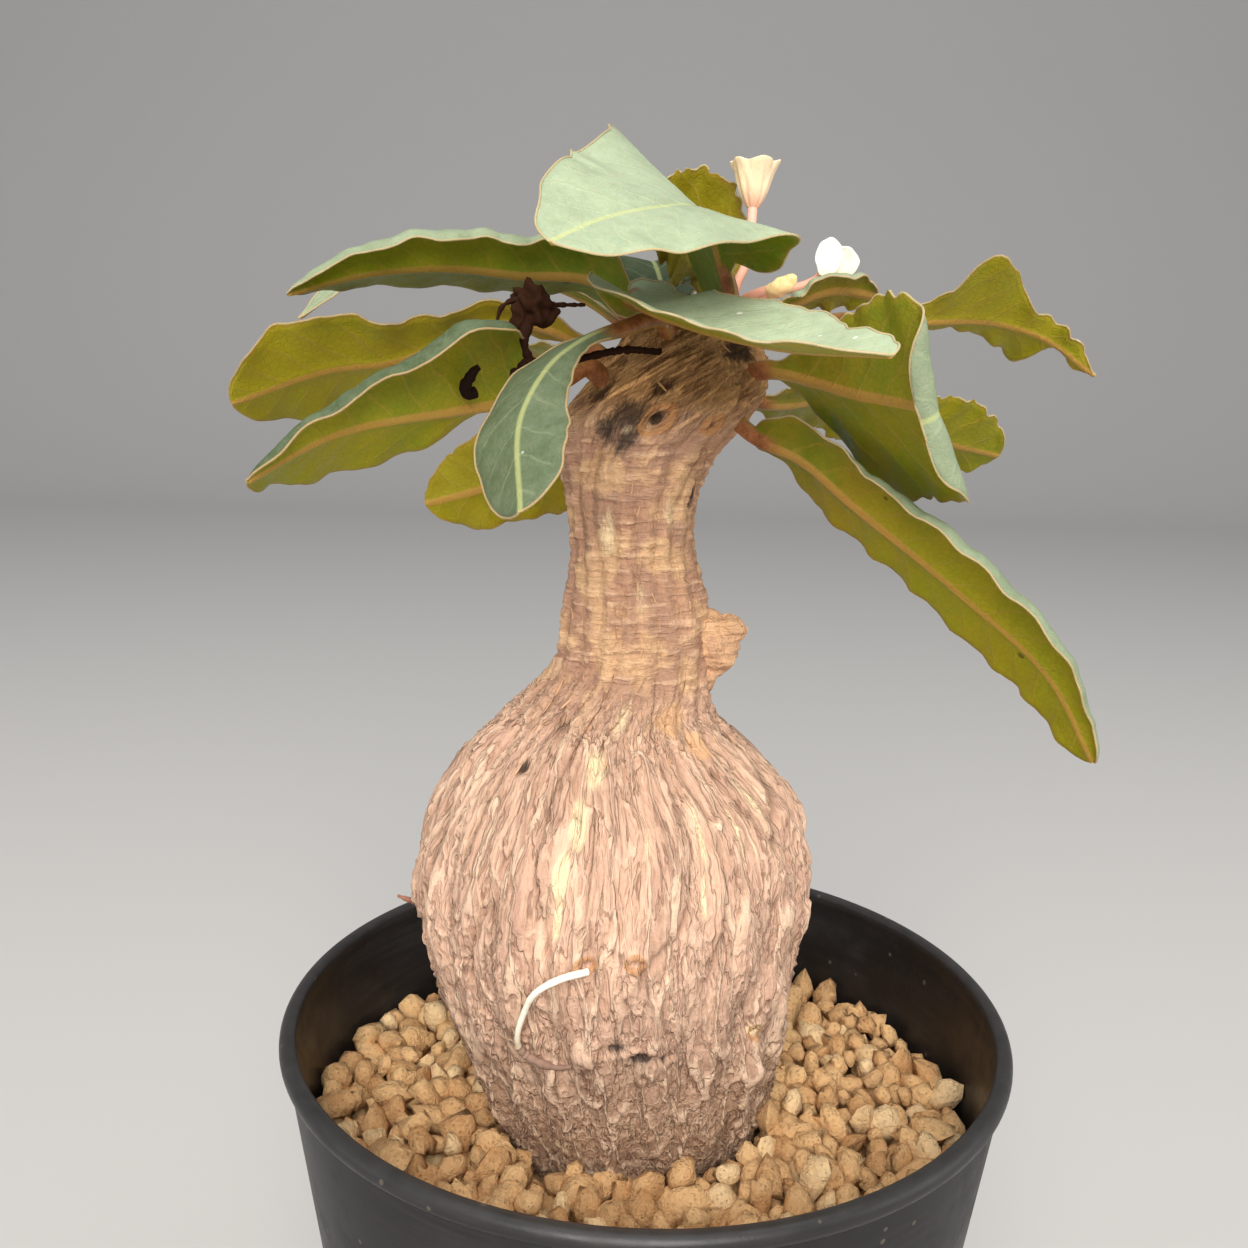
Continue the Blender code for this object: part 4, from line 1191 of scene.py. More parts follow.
LEAVES = {
    "leaf_crest": Leaf(
        seat=(300, 222.2),
        route=((8, -7, 230), (5, -13, 235.5), (-2, -26, 235), (-9, -33, 232.6), (-14.8, -40, 229.2)),
        heading=215,
        width=28,
        roll=(-15, -35),
        widest=0.5,
        fullness=0.5,
        wave=0.6,
        teeth=0.0,
        stalk=0.14,
        lobes=(
            (-1, 0.255, 18.4, 0.112),
            (-1, 0.46, 3.5, 0.2),
            (-1, 0.9, -2, 0.08),
            (1, 0.33, 3, 0.08),
            (1, 0.48, 3, 0.07),
        ),
        tone=(0.85, 0.2),
    ),
    "leaf_front": Leaf(
        seat=(215, 221.6),
        route=(
            (-5, -12, 224.5),
            (-3, -20, 222.8),
            (5, -27.5, 219.8),
            (12.5, -35, 217.9),
            (24.5, -51, 216.8),
        ),
        heading=345,
        width=24,
        fold=(28, 4),
        widest=0.52,
        fullness=0.55,
        stalk=0.1,
        wave=0.4,
        lobes=((1, 0.8, -3, 0.12),),
        tone=(1.0, 0.4),
    ),
    "leaf_hanging_front": Leaf(
        seat=(246, 219.4),
        route=(
            (-7, -18, 219.8),
            (-12, -25, 217.8),
            (-15.5, -32, 214.5),
            (-18.2, -39, 208.6),
            (-17.4, -49, 198),
        ),
        heading=222,
        width=17,
        roll=(-20, 0),
        fold=(-15, -15),
        widest=0.66,
        fullness=0.52,
        wave=0.5,
        teeth=0.15,
        stalk=0.3,
        lobes=((1, 0.62, -3, 0.25),),
        tone=(0.2, 0.6),
    ),
    "leaf_upper_left": Leaf(
        seat=(180, 220.5),
        route=((-9, 2, 226.5), (-23, 0, 228), (-32, -3, 228.5), (-44, -7, 227), (-54, -11, 223.8)),
        heading=185,
        width=21,
        roll=(55, 42),
        fold=(5, 32),
        curl=(-120, 0),
        widest=0.5,
        fullness=0.6,
        lobes=((-1, 0.5, -2.5, 0.4), (-1, 0.88, -1.5, 0.12)),
        tone=(0.6, 0.2),
    ),
    "leaf_left": Leaf(
        seat=(168, 215.5),
        route=((-25, 0, 221), (-33, -2, 218), (-40, -4, 215), (-49, -6, 213.6), (-63, -10, 208.4)),
        heading=190,
        width=26,
        roll=(30, 40),
        widest=0.68,
        fullness=0.55,
        lobes=((-1, 0.45, -5, 0.18), (1, 0.52, -4.6, 0.25)),
        tone=(0.25, 1.0),
    ),
    "leaf_lower_left": Leaf(
        seat=(205, 213),
        route=((-14, -8, 213), (-21, -15, 210), (-29, -22, 208.5), (-43, -31, 205.5), (-52, -40, 200)),
        heading=215,
        width=22,
        roll=(62, 45),
        fold=(12, 12),
        curl=(-110, 0),
        widest=0.52,
        fullness=0.5,
        stalk=0.16,
        lobes=((-1, 0.33, -8.5, 0.2), (-1, 0.77, 1.3, 0.08), (1, 0.465, 8.8, 0.135), (1, 0.85, -2, 0.15)),
        tone=(0.1, 0.45),
    ),
    "leaf_behind_neck": Leaf(
        seat=(122, 208),
        route=((-15, 20, 200), (-31, 26, 193), (-41, 28, 190)),
        heading=150,
        width=22,
        roll=(50, 60),
        fullness=0.6,
        lobes=((-1, 0.68, -2.4, 0.15), (1, 0.75, -1.5, 0.3)),
        tone=(0.3, 1.0),
    ),
    "leaf_long_right": Leaf(
        seat=(340, 207),
        route=((20, -9, 202.5), (28, -14, 196), (42, -22, 185), (54, -28, 174), (60, -30, 163)),
        heading=335,
        width=22,
        roll=(-50, -50),
        curl=(0, -90),
        widest=0.5,
        fullness=0.4,
        wave=0.7,
        waves=9,
        teeth=0.3,
        lobes=((1, 0.45, -3.2, 0.22), (1, 0.12, -3, 0.06), (-1, 0.55, 2.5, 0.2), (-1, 0.9, -2, 0.1)),
        tone=(0.5, 0.6),
    ),
    "leaf_fan_right": Leaf(
        seat=(322, 214.5),
        route=((20, -14, 213.8), (25.2, -21, 212.2), (30.4, -29, 211.2), (35.2, -38.6, 210)),
        heading=320,
        width=30,
        roll=(-55, -60),
        widest=0.8,
        fullness=0.35,
        wave=0.6,
        lobes=((-1, 0.4, 1.5, 0.12), (1, 0.49, 8, 0.18)),
        rolled=(0.9, 1.5),
        tone=(0.6, 0.5),
    ),
    "leaf_curly_right": Leaf(
        seat=(12, 218.5),
        route=((31, 10, 223), (40, 12, 223), (55, 14, 223), (62, 14, 221), (71, 14, 215)),
        heading=5,
        width=16,
        roll=(-35, -35),
        widest=0.5,
        fullness=1.1,
        waves=9,
        teeth=0.6,
        stalk=0.3,
        lobes=(
            (-1, 0.63, 6.2, 0.065),
            (-1, 0.47, -2.2, 0.06),
            (-1, 0.79, -2.3, 0.07),
            (1, 0.6, -5.2, 0.13),
            (1, 0.8, 3.2, 0.035),
            (1, 0.88, -3.5, 0.04),
        ),
        tone=(0.4, 0.75),
    ),
    "leaf_lower_right": Leaf(
        seat=(30, 211),
        route=((32, 18, 210), (47, 24, 204), (60, 26, 201)),
        heading=25,
        width=24,
        roll=(-30, -40),
        fullness=0.5,
        waves=9,
        teeth=0.7,
        lobes=((-1, 0.6, -4, 0.15), (1, 0.7, -2, 0.2)),
        tone=(0.6, 0.7),
    ),
    "leaf_upright": Leaf(
        seat=(70, 222),
        route=((8, 8, 230), (5, 11, 235.5), (-3, 13, 239.5)),
        heading=190,
        width=20,
        roll=(60, 40),
        widest=0.68,
        fullness=0.6,
        waves=8,
        teeth=0.7,
        lobes=((1, 0.4, -2, 0.15),),
        tone=(0.6, 1.0),
    ),
    "leaf_far_left": Leaf(
        seat=(138, 218.5),
        route=((-17, 20, 227.5), (-36, 26, 230.5), (-52, 26, 228.5), (-61, 22, 221.5)),
        heading=160,
        width=18,
        roll=(20, -40),
        tone=(0.7, 0.4),
    ),
    "leaf_young_right": Leaf(
        seat=(350, 220.5),
        route=((19, -2, 224.5), (25, -2.5, 226.6), (32, -1, 226)),
        heading=15,
        width=11,
        roll=(-30, -40),
        curl=(0, -80),
        wave=1.3,
        waves=4,
        teeth=0.6,
        tone=(0.6, 0.6),
    ),
    "leaf_back_right": Leaf(
        seat=(55, 215),
        route=((20, 24, 221), (32, 42, 220), (42, 60, 211)),
        heading=60,
        width=24,
        roll=(-10, 5),
        fold=(8, 8),
        waves=7,
    ),
    "leaf_back": Leaf(
        seat=(92, 217.5),
        route=((1, 18, 225), (-1, 26, 231.5), (-2, 41, 232), (-3, 60, 224)),
        heading=93,
        width=26,
        roll=(5, -8),
        fold=(8, 8),
        waves=7,
        tone=(0.0, 0.2),
    ),
    "leaf_back_left": Leaf(
        seat=(130, 213),
        route=((-18, 30, 216), (-29, 44, 215), (-42, 58, 206)),
        heading=132,
        width=23,
        roll=(8, 12),
        fold=(8, 8),
        waves=7,
    ),
}


def leaf_route(leaf):
    """The rib's points, from inside the bark straight out of it and on to the tip."""
    bearing, height = leaf.seat
    normal = stem_normal(bearing, height)
    base = stem_point(bearing, height)
    points = np.array([base + normal * SEAT_SUNK, base + normal * SEAT_RISE, *leaf.route], float)
    lengths = np.linalg.norm(np.diff(points, axis=0), axis=1)
    knots = np.concatenate([[0.0], np.cumsum(lengths)])
    return knots / knots[-1], points, knots[-1]


def half_width(leaf, along, side):
    """How far the blade reaches from the rib, before it is bent."""
    skew = log(0.5) / log(leaf.widest)
    blade = min(max((along - leaf.stalk) / (1 - leaf.stalk), 0.0), 1.0)
    swell = max(sin(pi * blade**skew), 0.0) ** leaf.fullness
    reach = leaf.width / 2 * swell
    swing = 0.5 * sin(4 * pi * leaf.waves * along + side)
    nick = noise.noise(Vector((along * 5 * leaf.waves, side * 9, leaf.heading)))
    teeth = leaf.teeth * (swing + 1.1 * nick) * min(reach / 4, 1.0)
    lobes = 0.0
    for lobe_side, place, size, spread in leaf.lobes:
        if lobe_side == side:
            lobes += size * exp(-(((along - place) / spread) ** 2))
    least = STALK_HALF_WIDTH * (1 - ease(along, 0.7, 1.0)) + EDGE_HALF_WIDTH
    return max(reach + teeth + lobes, least)


def rib_frame(leaf, knots, points, along):
    """The rib's point, its direction, the blade's left and its upper side at one place."""
    here = smooth(along, knots, points)
    ahead = smooth(min(along + RIB_STEP, 1.0), knots, points)
    behind = smooth(max(along - RIB_STEP, 0.0), knots, points)
    forward = unit(ahead - behind)
    left = outward(leaf.heading + 90)
    left = unit(left - left.dot(forward) * forward)
    up = np.cross(forward, left)
    roll = radians(leaf.roll[0] + (leaf.roll[1] - leaf.roll[0]) * along)
    left, up = cos(roll) * left + sin(roll) * up, cos(roll) * up - sin(roll) * left
    return here, forward, left, up


def rolled_frame(leaf, knots, points, along):
    """The frame where the leaf's end rolls under, about the line across the blade."""
    start, radius = leaf.rolled
    here, forward, left, up = rib_frame(leaf, knots, points, start)
    beyond = (along - start) * np.linalg.norm(points[-1] - here) / (1 - start)
    turn = min(beyond / radius, radians(ROLL_LIMIT))
    here = here + radius * (sin(turn) * forward - (1 - cos(turn)) * up)
    onward = cos(turn) * forward - sin(turn) * up
    here = here + (beyond - turn * radius) * onward
    return here, onward, left, cos(turn) * up + sin(turn) * forward


def half_bend(leaf, half, along, shares):
    """How far out and up each share of a half blade lies, for a reach of 1."""
    curl = leaf.curl[half] * ease(along, 0.0, 0.45)
    places = (np.arange(FOLD_STEPS) + 0.5)[:, None] / FOLD_STEPS * shares[None, :]
    angle = np.radians(leaf.fold[half] + curl * places**3)
    return np.cos(angle).mean(axis=0) * shares, np.sin(angle).mean(axis=0) * shares


def leaf_row(leaf, knots, points, along, columns):
    """The blade's middle points across one place, and how far each lies from the rib."""
    if leaf.rolled and along > leaf.rolled[0]:
        here, _, left, up = rolled_frame(leaf, knots, points, along)
    else:
        here, _, left, up = rib_frame(leaf, knots, points, along)
    row, reaches = [], []
    for side, half in ((-1, 1), (1, 0)):
        shares = np.abs(columns[columns < 0] if side == -1 else columns[columns >= 0])
        reach = half_width(leaf, along, side)
        out, rise = half_bend(leaf, half, along, shares)
        drift = 1.6 * noise.noise(Vector((along * 3, side * 7, leaf.heading)))
        phase = 2 * pi * leaf.waves * along + side + leaf.shift + drift
        unevenness = noise.noise(Vector((leaf.heading, along * 4, side * 3)))
        depth = leaf.wave * WAVE_DEPTH * (1 + 0.8 * unevenness)
        wave = depth * sin(phase) * shares**2 * min(reach / 5, 1.0)
        row.append(here + left * side * out[:, None] * reach + up * (rise * reach + wave)[:, None])
        reaches.append(side * shares * reach)
    return np.vstack(row), np.concatenate(reaches)


def vein_swell(length, away, along):
    """Soft swellings of the blade between its side veins."""
    phase = (length - VEIN_SLANT * np.abs(away)) / VEIN_SPACING
    fade = np.clip(np.abs(away) / 3, 0, 1) * ease(along, 0.1, 0.3)
    return VEIN_SWELL * np.abs(np.sin(pi * phase)) * fade


def leaf_mesh(name, leaf):
    """Both faces of a leaf, joined round its edge, with the fields that its colour reads."""
    knots, points, length = leaf_route(leaf)
    shares = np.linspace(0.0, 1.0, LEAF_STATIONS + 1)
    stations = LEAF_TIP * (shares + TIP_CROWDING * np.sin(2 * pi * shares) / (2 * pi))
    crowding = pi / 2 * COLUMN_CROWDING
    columns = np.sin(np.linspace(-1, 1, LEAF_COLUMNS + 1) * crowding) / sin(crowding)
    rows, aways = zip(*[leaf_row(leaf, knots, points, along, columns) for along in stations])
    middle, away = np.array(rows), np.array(aways)
    along = np.broadcast_to(stations[:, None], away.shape)
    edge = np.abs(away)[:, [0, -1]]
    edge = np.where(columns[None, :] < 0, edge[:, :1], edge[:, 1:]) - np.abs(away)

    normal = unit(np.cross(np.gradient(middle, axis=0), np.gradient(middle, axis=1)))
    stalk = 1 - ease(stations, 0.6 * leaf.stalk, leaf.stalk + 0.16)
    stalk = np.broadcast_to(stalk[:, None], away.shape)
    from_rib = np.clip((away / (STALK_HALF_WIDTH + EDGE_HALF_WIDTH)) ** 2, 0.0, 1.0)
    round_stalk = STALK_THICKNESS * np.sqrt(1 - from_rib)
    blade = BLADE_THICKNESS * np.clip(edge / EDGE_TAPER, EDGE_THINNEST, 1.0)
    half = ((1 - stalk) * blade + stalk * np.maximum(round_stalk, STALK_THINNEST)) / 2
    rib = RIB_RISE * (1 - 0.85 * along) * np.exp(-((away / (1.1 - 0.6 * along)) ** 2)) * (1 - stalk)
    swell = vein_swell(along * length, away, along) * (1 - stalk) * np.clip(edge / 2, 0, 1)
    groove = RIB_GROOVE * np.exp(-((away / 0.5) ** 2)) * (1 - along) * (1 - stalk)
    upper = middle + normal * (half + swell - groove)[..., None]
    lower = middle - normal * (half + rib - swell)[..., None]

    count = away.size
    wide = LEAF_COLUMNS + 1
    faces = []
    for i in range(LEAF_STATIONS):
        for j in range(LEAF_COLUMNS):
            a, b = i * wide + j, (i + 1) * wide + j
            faces.append((a, b, b + 1, a + 1))
            faces.append((count + a, count + a + 1, count + b + 1, count + b))
    border = [i * wide for i in range(LEAF_STATIONS + 1)]
    border += [LEAF_STATIONS * wide + j for j in range(1, wide)]
    border += [i * wide + wide - 1 for i in range(LEAF_STATIONS - 1, -1, -1)]
    border += [j for j in range(wide - 2, 0, -1)]
    for a, b in zip(border, border[1:] + border[:1]):
        faces.append((b, a, count + a, count + b))
    mesh = bpy.data.meshes.new(name)
    vertices = np.vstack([upper.reshape(-1, 3), lower.reshape(-1, 3)]) * MM
    mesh.from_pydata(vertices.tolist(), [], faces)

    def both(values):
        return np.concatenate([np.ravel(values)] * 2)

    blade_place = np.stack([both(along * length), both(away), both(edge)], axis=-1)
    add_field(mesh, "blade", blade_place)
    add_field(mesh, "upper", np.concatenate([np.ones(count), np.zeros(count)]))
    add_field(mesh, "stalk", both(stalk))
    # Bloom for the upper side, partly the leaf's own and partly painted light and shade, leaf by leaf.
    add_field(mesh, "bloom_and_shade", np.full(2 * count, leaf.tone[0]))
    add_field(mesh, "olive", np.full(2 * count, leaf.tone[1]))
    rim = np.zeros(2 * count)
    corners = middle.reshape(-1, 3)[border]
    onward = unit(np.roll(corners, -1, axis=0) - corners + TINY)
    straight = np.sum(onward * np.roll(onward, 1, axis=0), axis=1) > EDGE_TURN
    rim[[b for b, keep in zip(border, straight) if keep and stations[b // wide] > leaf.stalk]] = 1.0
    add_field(mesh, "rim", rim)
    return mesh


def swept(tree, route, sides, radius):
    """A round rod along a curve, its ends capped."""
    ring = tree.node("GeometryNodeCurvePrimitiveCircle", {"Resolution": sides, "Radius": 1.0})
    inputs = {"Curve": route, "Profile Curve": ring.outputs[0], "Scale": radius, "Fill Caps": True}
    return tree.node("GeometryNodeCurveToMesh", inputs).outputs[0]


def leaf_edge_tree():
    """Lays a thin cartilage rim along the edge that a leaf's rim field marks."""
    tree, given, end = geometry_group("Leaf edge", {"Rim radius": "float"})
    chosen = tree.math("GREATER_THAN", tree.stored("rim"), RIM_MARK)
    route = tree.node("GeometryNodeMeshToCurve", {"Mesh": given["Geometry"], "Selection": chosen})
    rim = swept(tree, route.outputs[0], RIM_SIDES, given["Rim radius"])
    both = tree.node("GeometryNodeJoinGeometry")
    for part, mark in ((given["Geometry"], 0.0), (rim, 1.0)):
        stored = {0: part, "Name": "rim", "Value": mark}
        tree.join(tree.node("GeometryNodeStoreNamedAttribute", stored).outputs[0], both.inputs[0])
    return dressed_group(tree, both.outputs[0], given, end)


def leaf_material():
    material, tree, shader = new_material(
        "Leaf", Subsurface_Weight=0.12, Subsurface_Scale=0.001, Specular_IOR_Level=0.22
    )
    place = object_place(tree)
    blade = tree.node("ShaderNodeSeparateXYZ", {0: tree.field("blade", "Vector")}).outputs
    length, away, edge = blade[0], tree.math("ABSOLUTE", blade[1]), blade[2]
    drift, _ = tree.cloud(place, 160.0, 3.0)
    slanted = tree.math("DIVIDE", tree.minus(length, tree.times(away, VEIN_SLANT)), VEIN_SPACING)
    from_vein = tree.math("PINGPONG", tree.plus(slanted, tree.times(tree.minus(drift, 0.5), 0.7)), 0.5)
    veins = tree.times(tree.ramp(from_vein, 0.015, 0.075, 1.0, 0.0), tree.ramp(edge, 0.5, 2.5))
    net, _ = tree.cells(tree.scaled(place, (900.0, 900.0, 900.0)), 1.0, "DISTANCE_TO_EDGE")
    net = tree.ramp(net, 0.02, 0.1, 1.0, 0.0)
    patches = tree.placed(mottle, Vector=place, Scale=95.0)
    flecks = tree.placed(mottle, Vector=place, Scale=520.0)
    white_specks = tree.placed(specks, Vector=place, Scale=330.0, Size=0.13, Share=0.14)
    dark_specks = tree.placed(specks, Vector=place, Scale=260.0, Size=0.12, Share=0.12)
    # The bloom mask: the leaf's own waxy bloom, and painted light and shade in how much of it each leaf
    # gets.
    bloom_and_shade = tree.times(tree.field("bloom_and_shade"), tree.ramp(patches, 0.0, 1.0, 0.82, 1.0))
    top = tree.coats(
        rgb(42, 60, 18),
        (bloom_and_shade, 1.0, (176, 190, 156)),
        (flecks, 0.08, (200, 208, 180)),
        (veins, 0.1, (190, 204, 150)),
        (tree.ramp(away, 0.15, 0.6, 1.0, 0.0), 0.5, (196, 200, 130)),
        (white_specks, 0.6, (240, 240, 226)),
    )

    olive = tree.plus(tree.field("olive"), tree.times(tree.minus(patches, 0.5), 0.5))
    toward_tip = tree.ramp(tree.plus(length, tree.times(drift, 24.0)), 20.0, 58.0)
    cloudy, _ = tree.cloud(place, 42.0, 2.0)
    rib_reach = tree.plus(0.35, tree.times(tree.ramp(length, 60.0, 5.0), 0.45))
    under = tree.coats(
        rgb(84, 114, 10),
        (tree.ramp(olive, 0.0, 1.0), 1.0, (138, 118, 16)),
        (toward_tip, 0.5, (164, 160, 18)),
        (tree.ramp(cloudy, 0.45, 0.7), 0.45, (70, 92, 8)),
        (flecks, 0.22, (166, 150, 40)),
        (net, 0.12, (84, 84, 20)),
        (veins, 0.28, (166, 136, 60)),
        (tree.ramp(edge, 0.0, 1.0, 1.0, 0.0), 0.3, (160, 112, 56)),
        (tree.ramp(tree.minus(away, rib_reach), 0.0, 0.35, 1.0, 0.0), 0.62, (190, 138, 74)),
        (dark_specks, 0.7, (60, 46, 20)),
    )
    colour = tree.mix(tree.ramp(tree.field("upper"), 0.4, 0.6), under, top)
    stalk = tree.mix(flecks, rgb(166, 108, 64), rgb(122, 72, 40))
    near_rib = tree.ramp(away, 1.2, 2.0, 1.0, 0.0)
    stalk_share = tree.times(tree.ramp(tree.field("stalk"), 0.35, 0.85), near_rib)
    colour = tree.mix(stalk_share, colour, stalk)
    colour = tree.coats(colour, (tree.field("rim"), 0.6, (192, 158, 112)))
    grain, _ = tree.cloud(place, 2400.0, 3.0)
    relief = tree.plus(tree.times(grain, 0.5), tree.times(net, -0.35), tree.times(veins, 0.5))
    finish_shader(tree, shader, colour, (flecks, 0.42, 0.58), (relief, 0.00012, 0.7))
    return material


leaf_green = leaf_material()
leaf_edge = leaf_edge_tree()
for name, leaf in LEAVES.items():
    sizes = {"Rim radius": LEAF_RIM * MM, "Finish": leaf_green}
    mesh = grown(leaf_mesh(name, leaf), leaf_edge, **sizes)
    piece = new_piece(name.replace("leaf_", "") + "_leaf", mesh, leaf_green)
    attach(piece, "root")
    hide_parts(name)

# Shreds
# Loose strips of dry bark and old leaf bases: combed fibres on the head, and small curled
# peelings on the neck and shoulders. They are rooted in the bark they split from.

SHRED_SHAPES = 6
SHRED_SEGMENTS = 5
SHRED_THICKNESS = 0.05
SHRED_LIFT = 0.25
SHRED_DENSITY = 600000.0
SHRED_STRAY = 0.18
GROUND_TURN = 4.0
GROUND_RISE = 1.5

# Where strips grow: heights, lengths, spacing, direction, colours, height over which they begin
SHREDS = {
    "head_fibres": (
        (209.0, 221.0), (1.8, 3.4), 4.0, (0.8, -0.1, -0.62), (176, 130, 82), (92, 60, 34), 8.0
    ),
    "neck_peelings": (
        (152.0, 200.0), (1.5, 3.4), 2.6, (0.15, 0.0, 1.0), (222, 178, 142), (168, 122, 94), 12.0
    ),
}


def shred_shape(k):
    """A thin strip 1 m long that tapers and curls up at its free end."""
    random = Random(SEED + 50 + k)
    curl = random.uniform(0.02, 0.16)
    width = random.uniform(0.07, 0.16)
    bend = random.uniform(-0.25, 0.25)
    work = bmesh.new()
    rings = []
    for step in range(SHRED_SEGMENTS + 1):
        share = step / SHRED_SEGMENTS
        half = width / 2 * (1.0 - 0.8 * share**2) * (0.5 + 0.5 * min(share * 4, 1.0))
        y, z = bend * share**2, curl * share**2.2
        below = z - SHRED_THICKNESS
        corners = ((y - half, z), (y + half, z), (y + half, below), (y - half, below))
        rings.append([work.verts.new((share, *corner)) for corner in corners])
    for low, high in zip(rings, rings[1:]):
        for j in range(4):
            work.faces.new((low[j], low[(j + 1) % 4], high[(j + 1) % 4], high[j]))
    work.faces.new(rings[0])
    work.faces.new(rings[-1])
    return finished_mesh(f"shred_shape_{k}", work)


def shreds_tree():
    """Strips laid over a surface along a direction, where a field lets them grow."""
    sizes = dict.fromkeys(("Spacing", "Smallest", "Largest", "Lift"), "float")
    inputs = {"Shapes": "collection", **sizes, "Direction": "vector", "Seed": "int"}
    tree, given, end = geometry_group("Shreds", inputs)
    spread = {
        "Mesh": given["Geometry"],
        "Distance Min": given["Spacing"],
        "Density Max": SHRED_DENSITY,
        "Density Factor": tree.stored("shreds"),
        "Seed": given["Seed"],
    }
    points = tree.node("GeometryNodeDistributePointsOnFaces", spread, distribute_method="POISSON")
    stray = {0: (-SHRED_STRAY,) * 3, 1: (SHRED_STRAY,) * 3, 8: 2}
    stray = tree.node("FunctionNodeRandomValue", stray, data_type="FLOAT_VECTOR").outputs[0]
    along = {0: given["Direction"], 1: stray}
    along = tree.node("ShaderNodeVectorMath", along, operation="ADD").outputs[0]
    laid = {"Rotation": points.outputs["Rotation"], "Vector": along}
    turn = tree.node("FunctionNodeAlignRotationToVector", laid, axis="X", pivot_axis="Z").outputs[0]
    raised = {0: points.outputs["Normal"], 3: given["Lift"]}
    raised = tree.node("ShaderNodeVectorMath", raised, operation="SCALE").outputs[0]
    lifted = {"Geometry": points.outputs["Points"], "Offset": raised}
    lifted = tree.node("GeometryNodeSetPosition", lifted).outputs[0]
    strips = strewn(tree, given, lifted, turn, SHRED_SHAPES, 4, 6)
    return dressed_group(tree, strips, given, end)


def shreds_material(name, light, dark):
    material, tree, shader = new_material(name, Specular_IOR_Level=0.2)
    place = object_place(tree)
    patches = tree.placed(mottle, Vector=place, Scale=900.0)
    base = tree.coats(rgb(*light), (tree.field("tint"), 1.0, dark), (patches, 0.4, (208, 164, 116)))
    fine, _ = tree.cloud(place, 3000.0, 3.0)
    finish_shader(tree, shader, base, (patches, 0.8, 0.95), (fine, 0.0001, 0.7))
    return material


def shred_ground(heights, fade):
    """A coarse copy of the stem's surface, with how thickly strips grow on it."""
    bearings = np.arange(0, 360, GROUND_TURN)[None, :]
    rows = np.arange(*heights, GROUND_RISE)[:, None]
    points = stem_point(bearings + 0 * rows, rows + 0 * bearings)
    mesh = bpy.data.meshes.new("shred_ground")
    faces = ring_faces(rows.size, bearings.size)
    mesh.from_pydata((points.reshape(-1, 3) * MM).tolist(), [], faces)
    share = ease(rows.ravel(), heights[0], heights[0] + fade)
    add_field(mesh, "shreds", np.repeat(share, bearings.size))
    return mesh


strips = shape_collection("shred", shred_shape, SHRED_SHAPES)
shreds = shreds_tree()
for label, (heights, lengths, spacing, direction, light, dark, fade) in SHREDS.items():
    mesh = grown(
        shred_ground(heights, fade),
        shreds,
        Shapes=strips,
        Spacing=spacing * MM,
        Smallest=lengths[0] * MM,
        Largest=lengths[1] * MM,
        Direction=direction,
        Lift=SHRED_LIFT * MM,
        Seed=SEED,
        Finish=shreds_material(label.replace("_", " "), light, dark),
    )
    piece = new_piece(label, mesh, mesh.materials[0])
    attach(piece, "root")
    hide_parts("caudex")
remove_shapes(strips)

# Stalks and flowers
# A cream-pink funnel flower on its stalk, a pale flower of two rounded bracts and a bud,
# all soft and matt, grown from the crown. Stalks are round rods swept along their routes.

ROD_SIDES = 14
ROD_POINTS = 48
CUP_SIDES = 80
CUP_LOBES = 5
CUP_STEPS = 60
SEAT_DEPTH = 0.8


def rod_tree():
    """Sweeps a round rod along a line of points, as thick as their girth field says."""
    tree, given, end = geometry_group("Rod", {"Radius": "float", "Sides": "int"})
    route = tree.node("GeometryNodeMeshToCurve", {"Mesh": given["Geometry"]}).outputs[0]
    radius = tree.times(tree.stored("girth"), given["Radius"])
    return dressed_group(tree, swept(tree, route, given["Sides"], radius), given, end)


rod_group = rod_tree()


def rod_mesh(name, route, radius, material, girths=(1.0, 1.0), wobble=0.0):
    """A rod along a smooth curve through a route, its girth running through a list."""
    route = np.array([np.asarray(point, float) for point in route])
    lengths = np.concatenate([[0.0], np.cumsum(np.linalg.norm(np.diff(route, axis=0), axis=1))])
    shares = np.linspace(0.0, 1.0, ROD_POINTS)
    points = smooth(shares * lengths[-1], lengths, route)
    girth = np.interp(shares, np.linspace(0.0, 1.0, len(girths)), girths)
    girth = girth * (1 + wobble * np.array([noise.noise(Vector(point) * 1.4) for point in points]))
    mesh = bpy.data.meshes.new(name)
    mesh.from_pydata((points * MM).tolist(), [(k, k + 1) for k in range(ROD_POINTS - 1)], [])
    add_field(mesh, "girth", girth)
    return grown(mesh, rod_group, Radius=radius * MM, Sides=ROD_SIDES, Finish=material)


def seat_route(bearing, height, *route):
    """A route that starts a little inside the bark."""
    return [stem_point(bearing, height) - stem_normal(bearing, height) * SEAT_DEPTH, *route]


def blended_material(name, low, high, heights, roughness, veins=0.0, **constants):
    """A matt plant finish whose colour runs up between two heights, with fine streaks."""
    material, tree, shader = new_material(name, **constants)
    place = object_place(tree, 1 / MM)
    height = tree.node("ShaderNodeSeparateXYZ", {0: place}).outputs[2]
    patches = tree.placed(mottle, Vector=place, Scale=0.5)
    rise = tree.plus(height, tree.times(patches, 0.8))
    streaks, _ = tree.cloud(tree.scaled(place, (3.2, 3.2, 0.3)), 1.0, 3.0)
    base = tree.coats(
        rgb(*low),
        (tree.ramp(rise, *heights), 1.0, high),
        (tree.ramp(streaks, 0.4, 0.7), veins, low),
    )
    fine, _ = tree.cloud(place, 3.5, 3.0)
    evenness = (patches, roughness - 0.06, roughness + 0.06)
    finish_shader(tree, shader, base, evenness, (fine, 0.00008, 0.6))
    return material


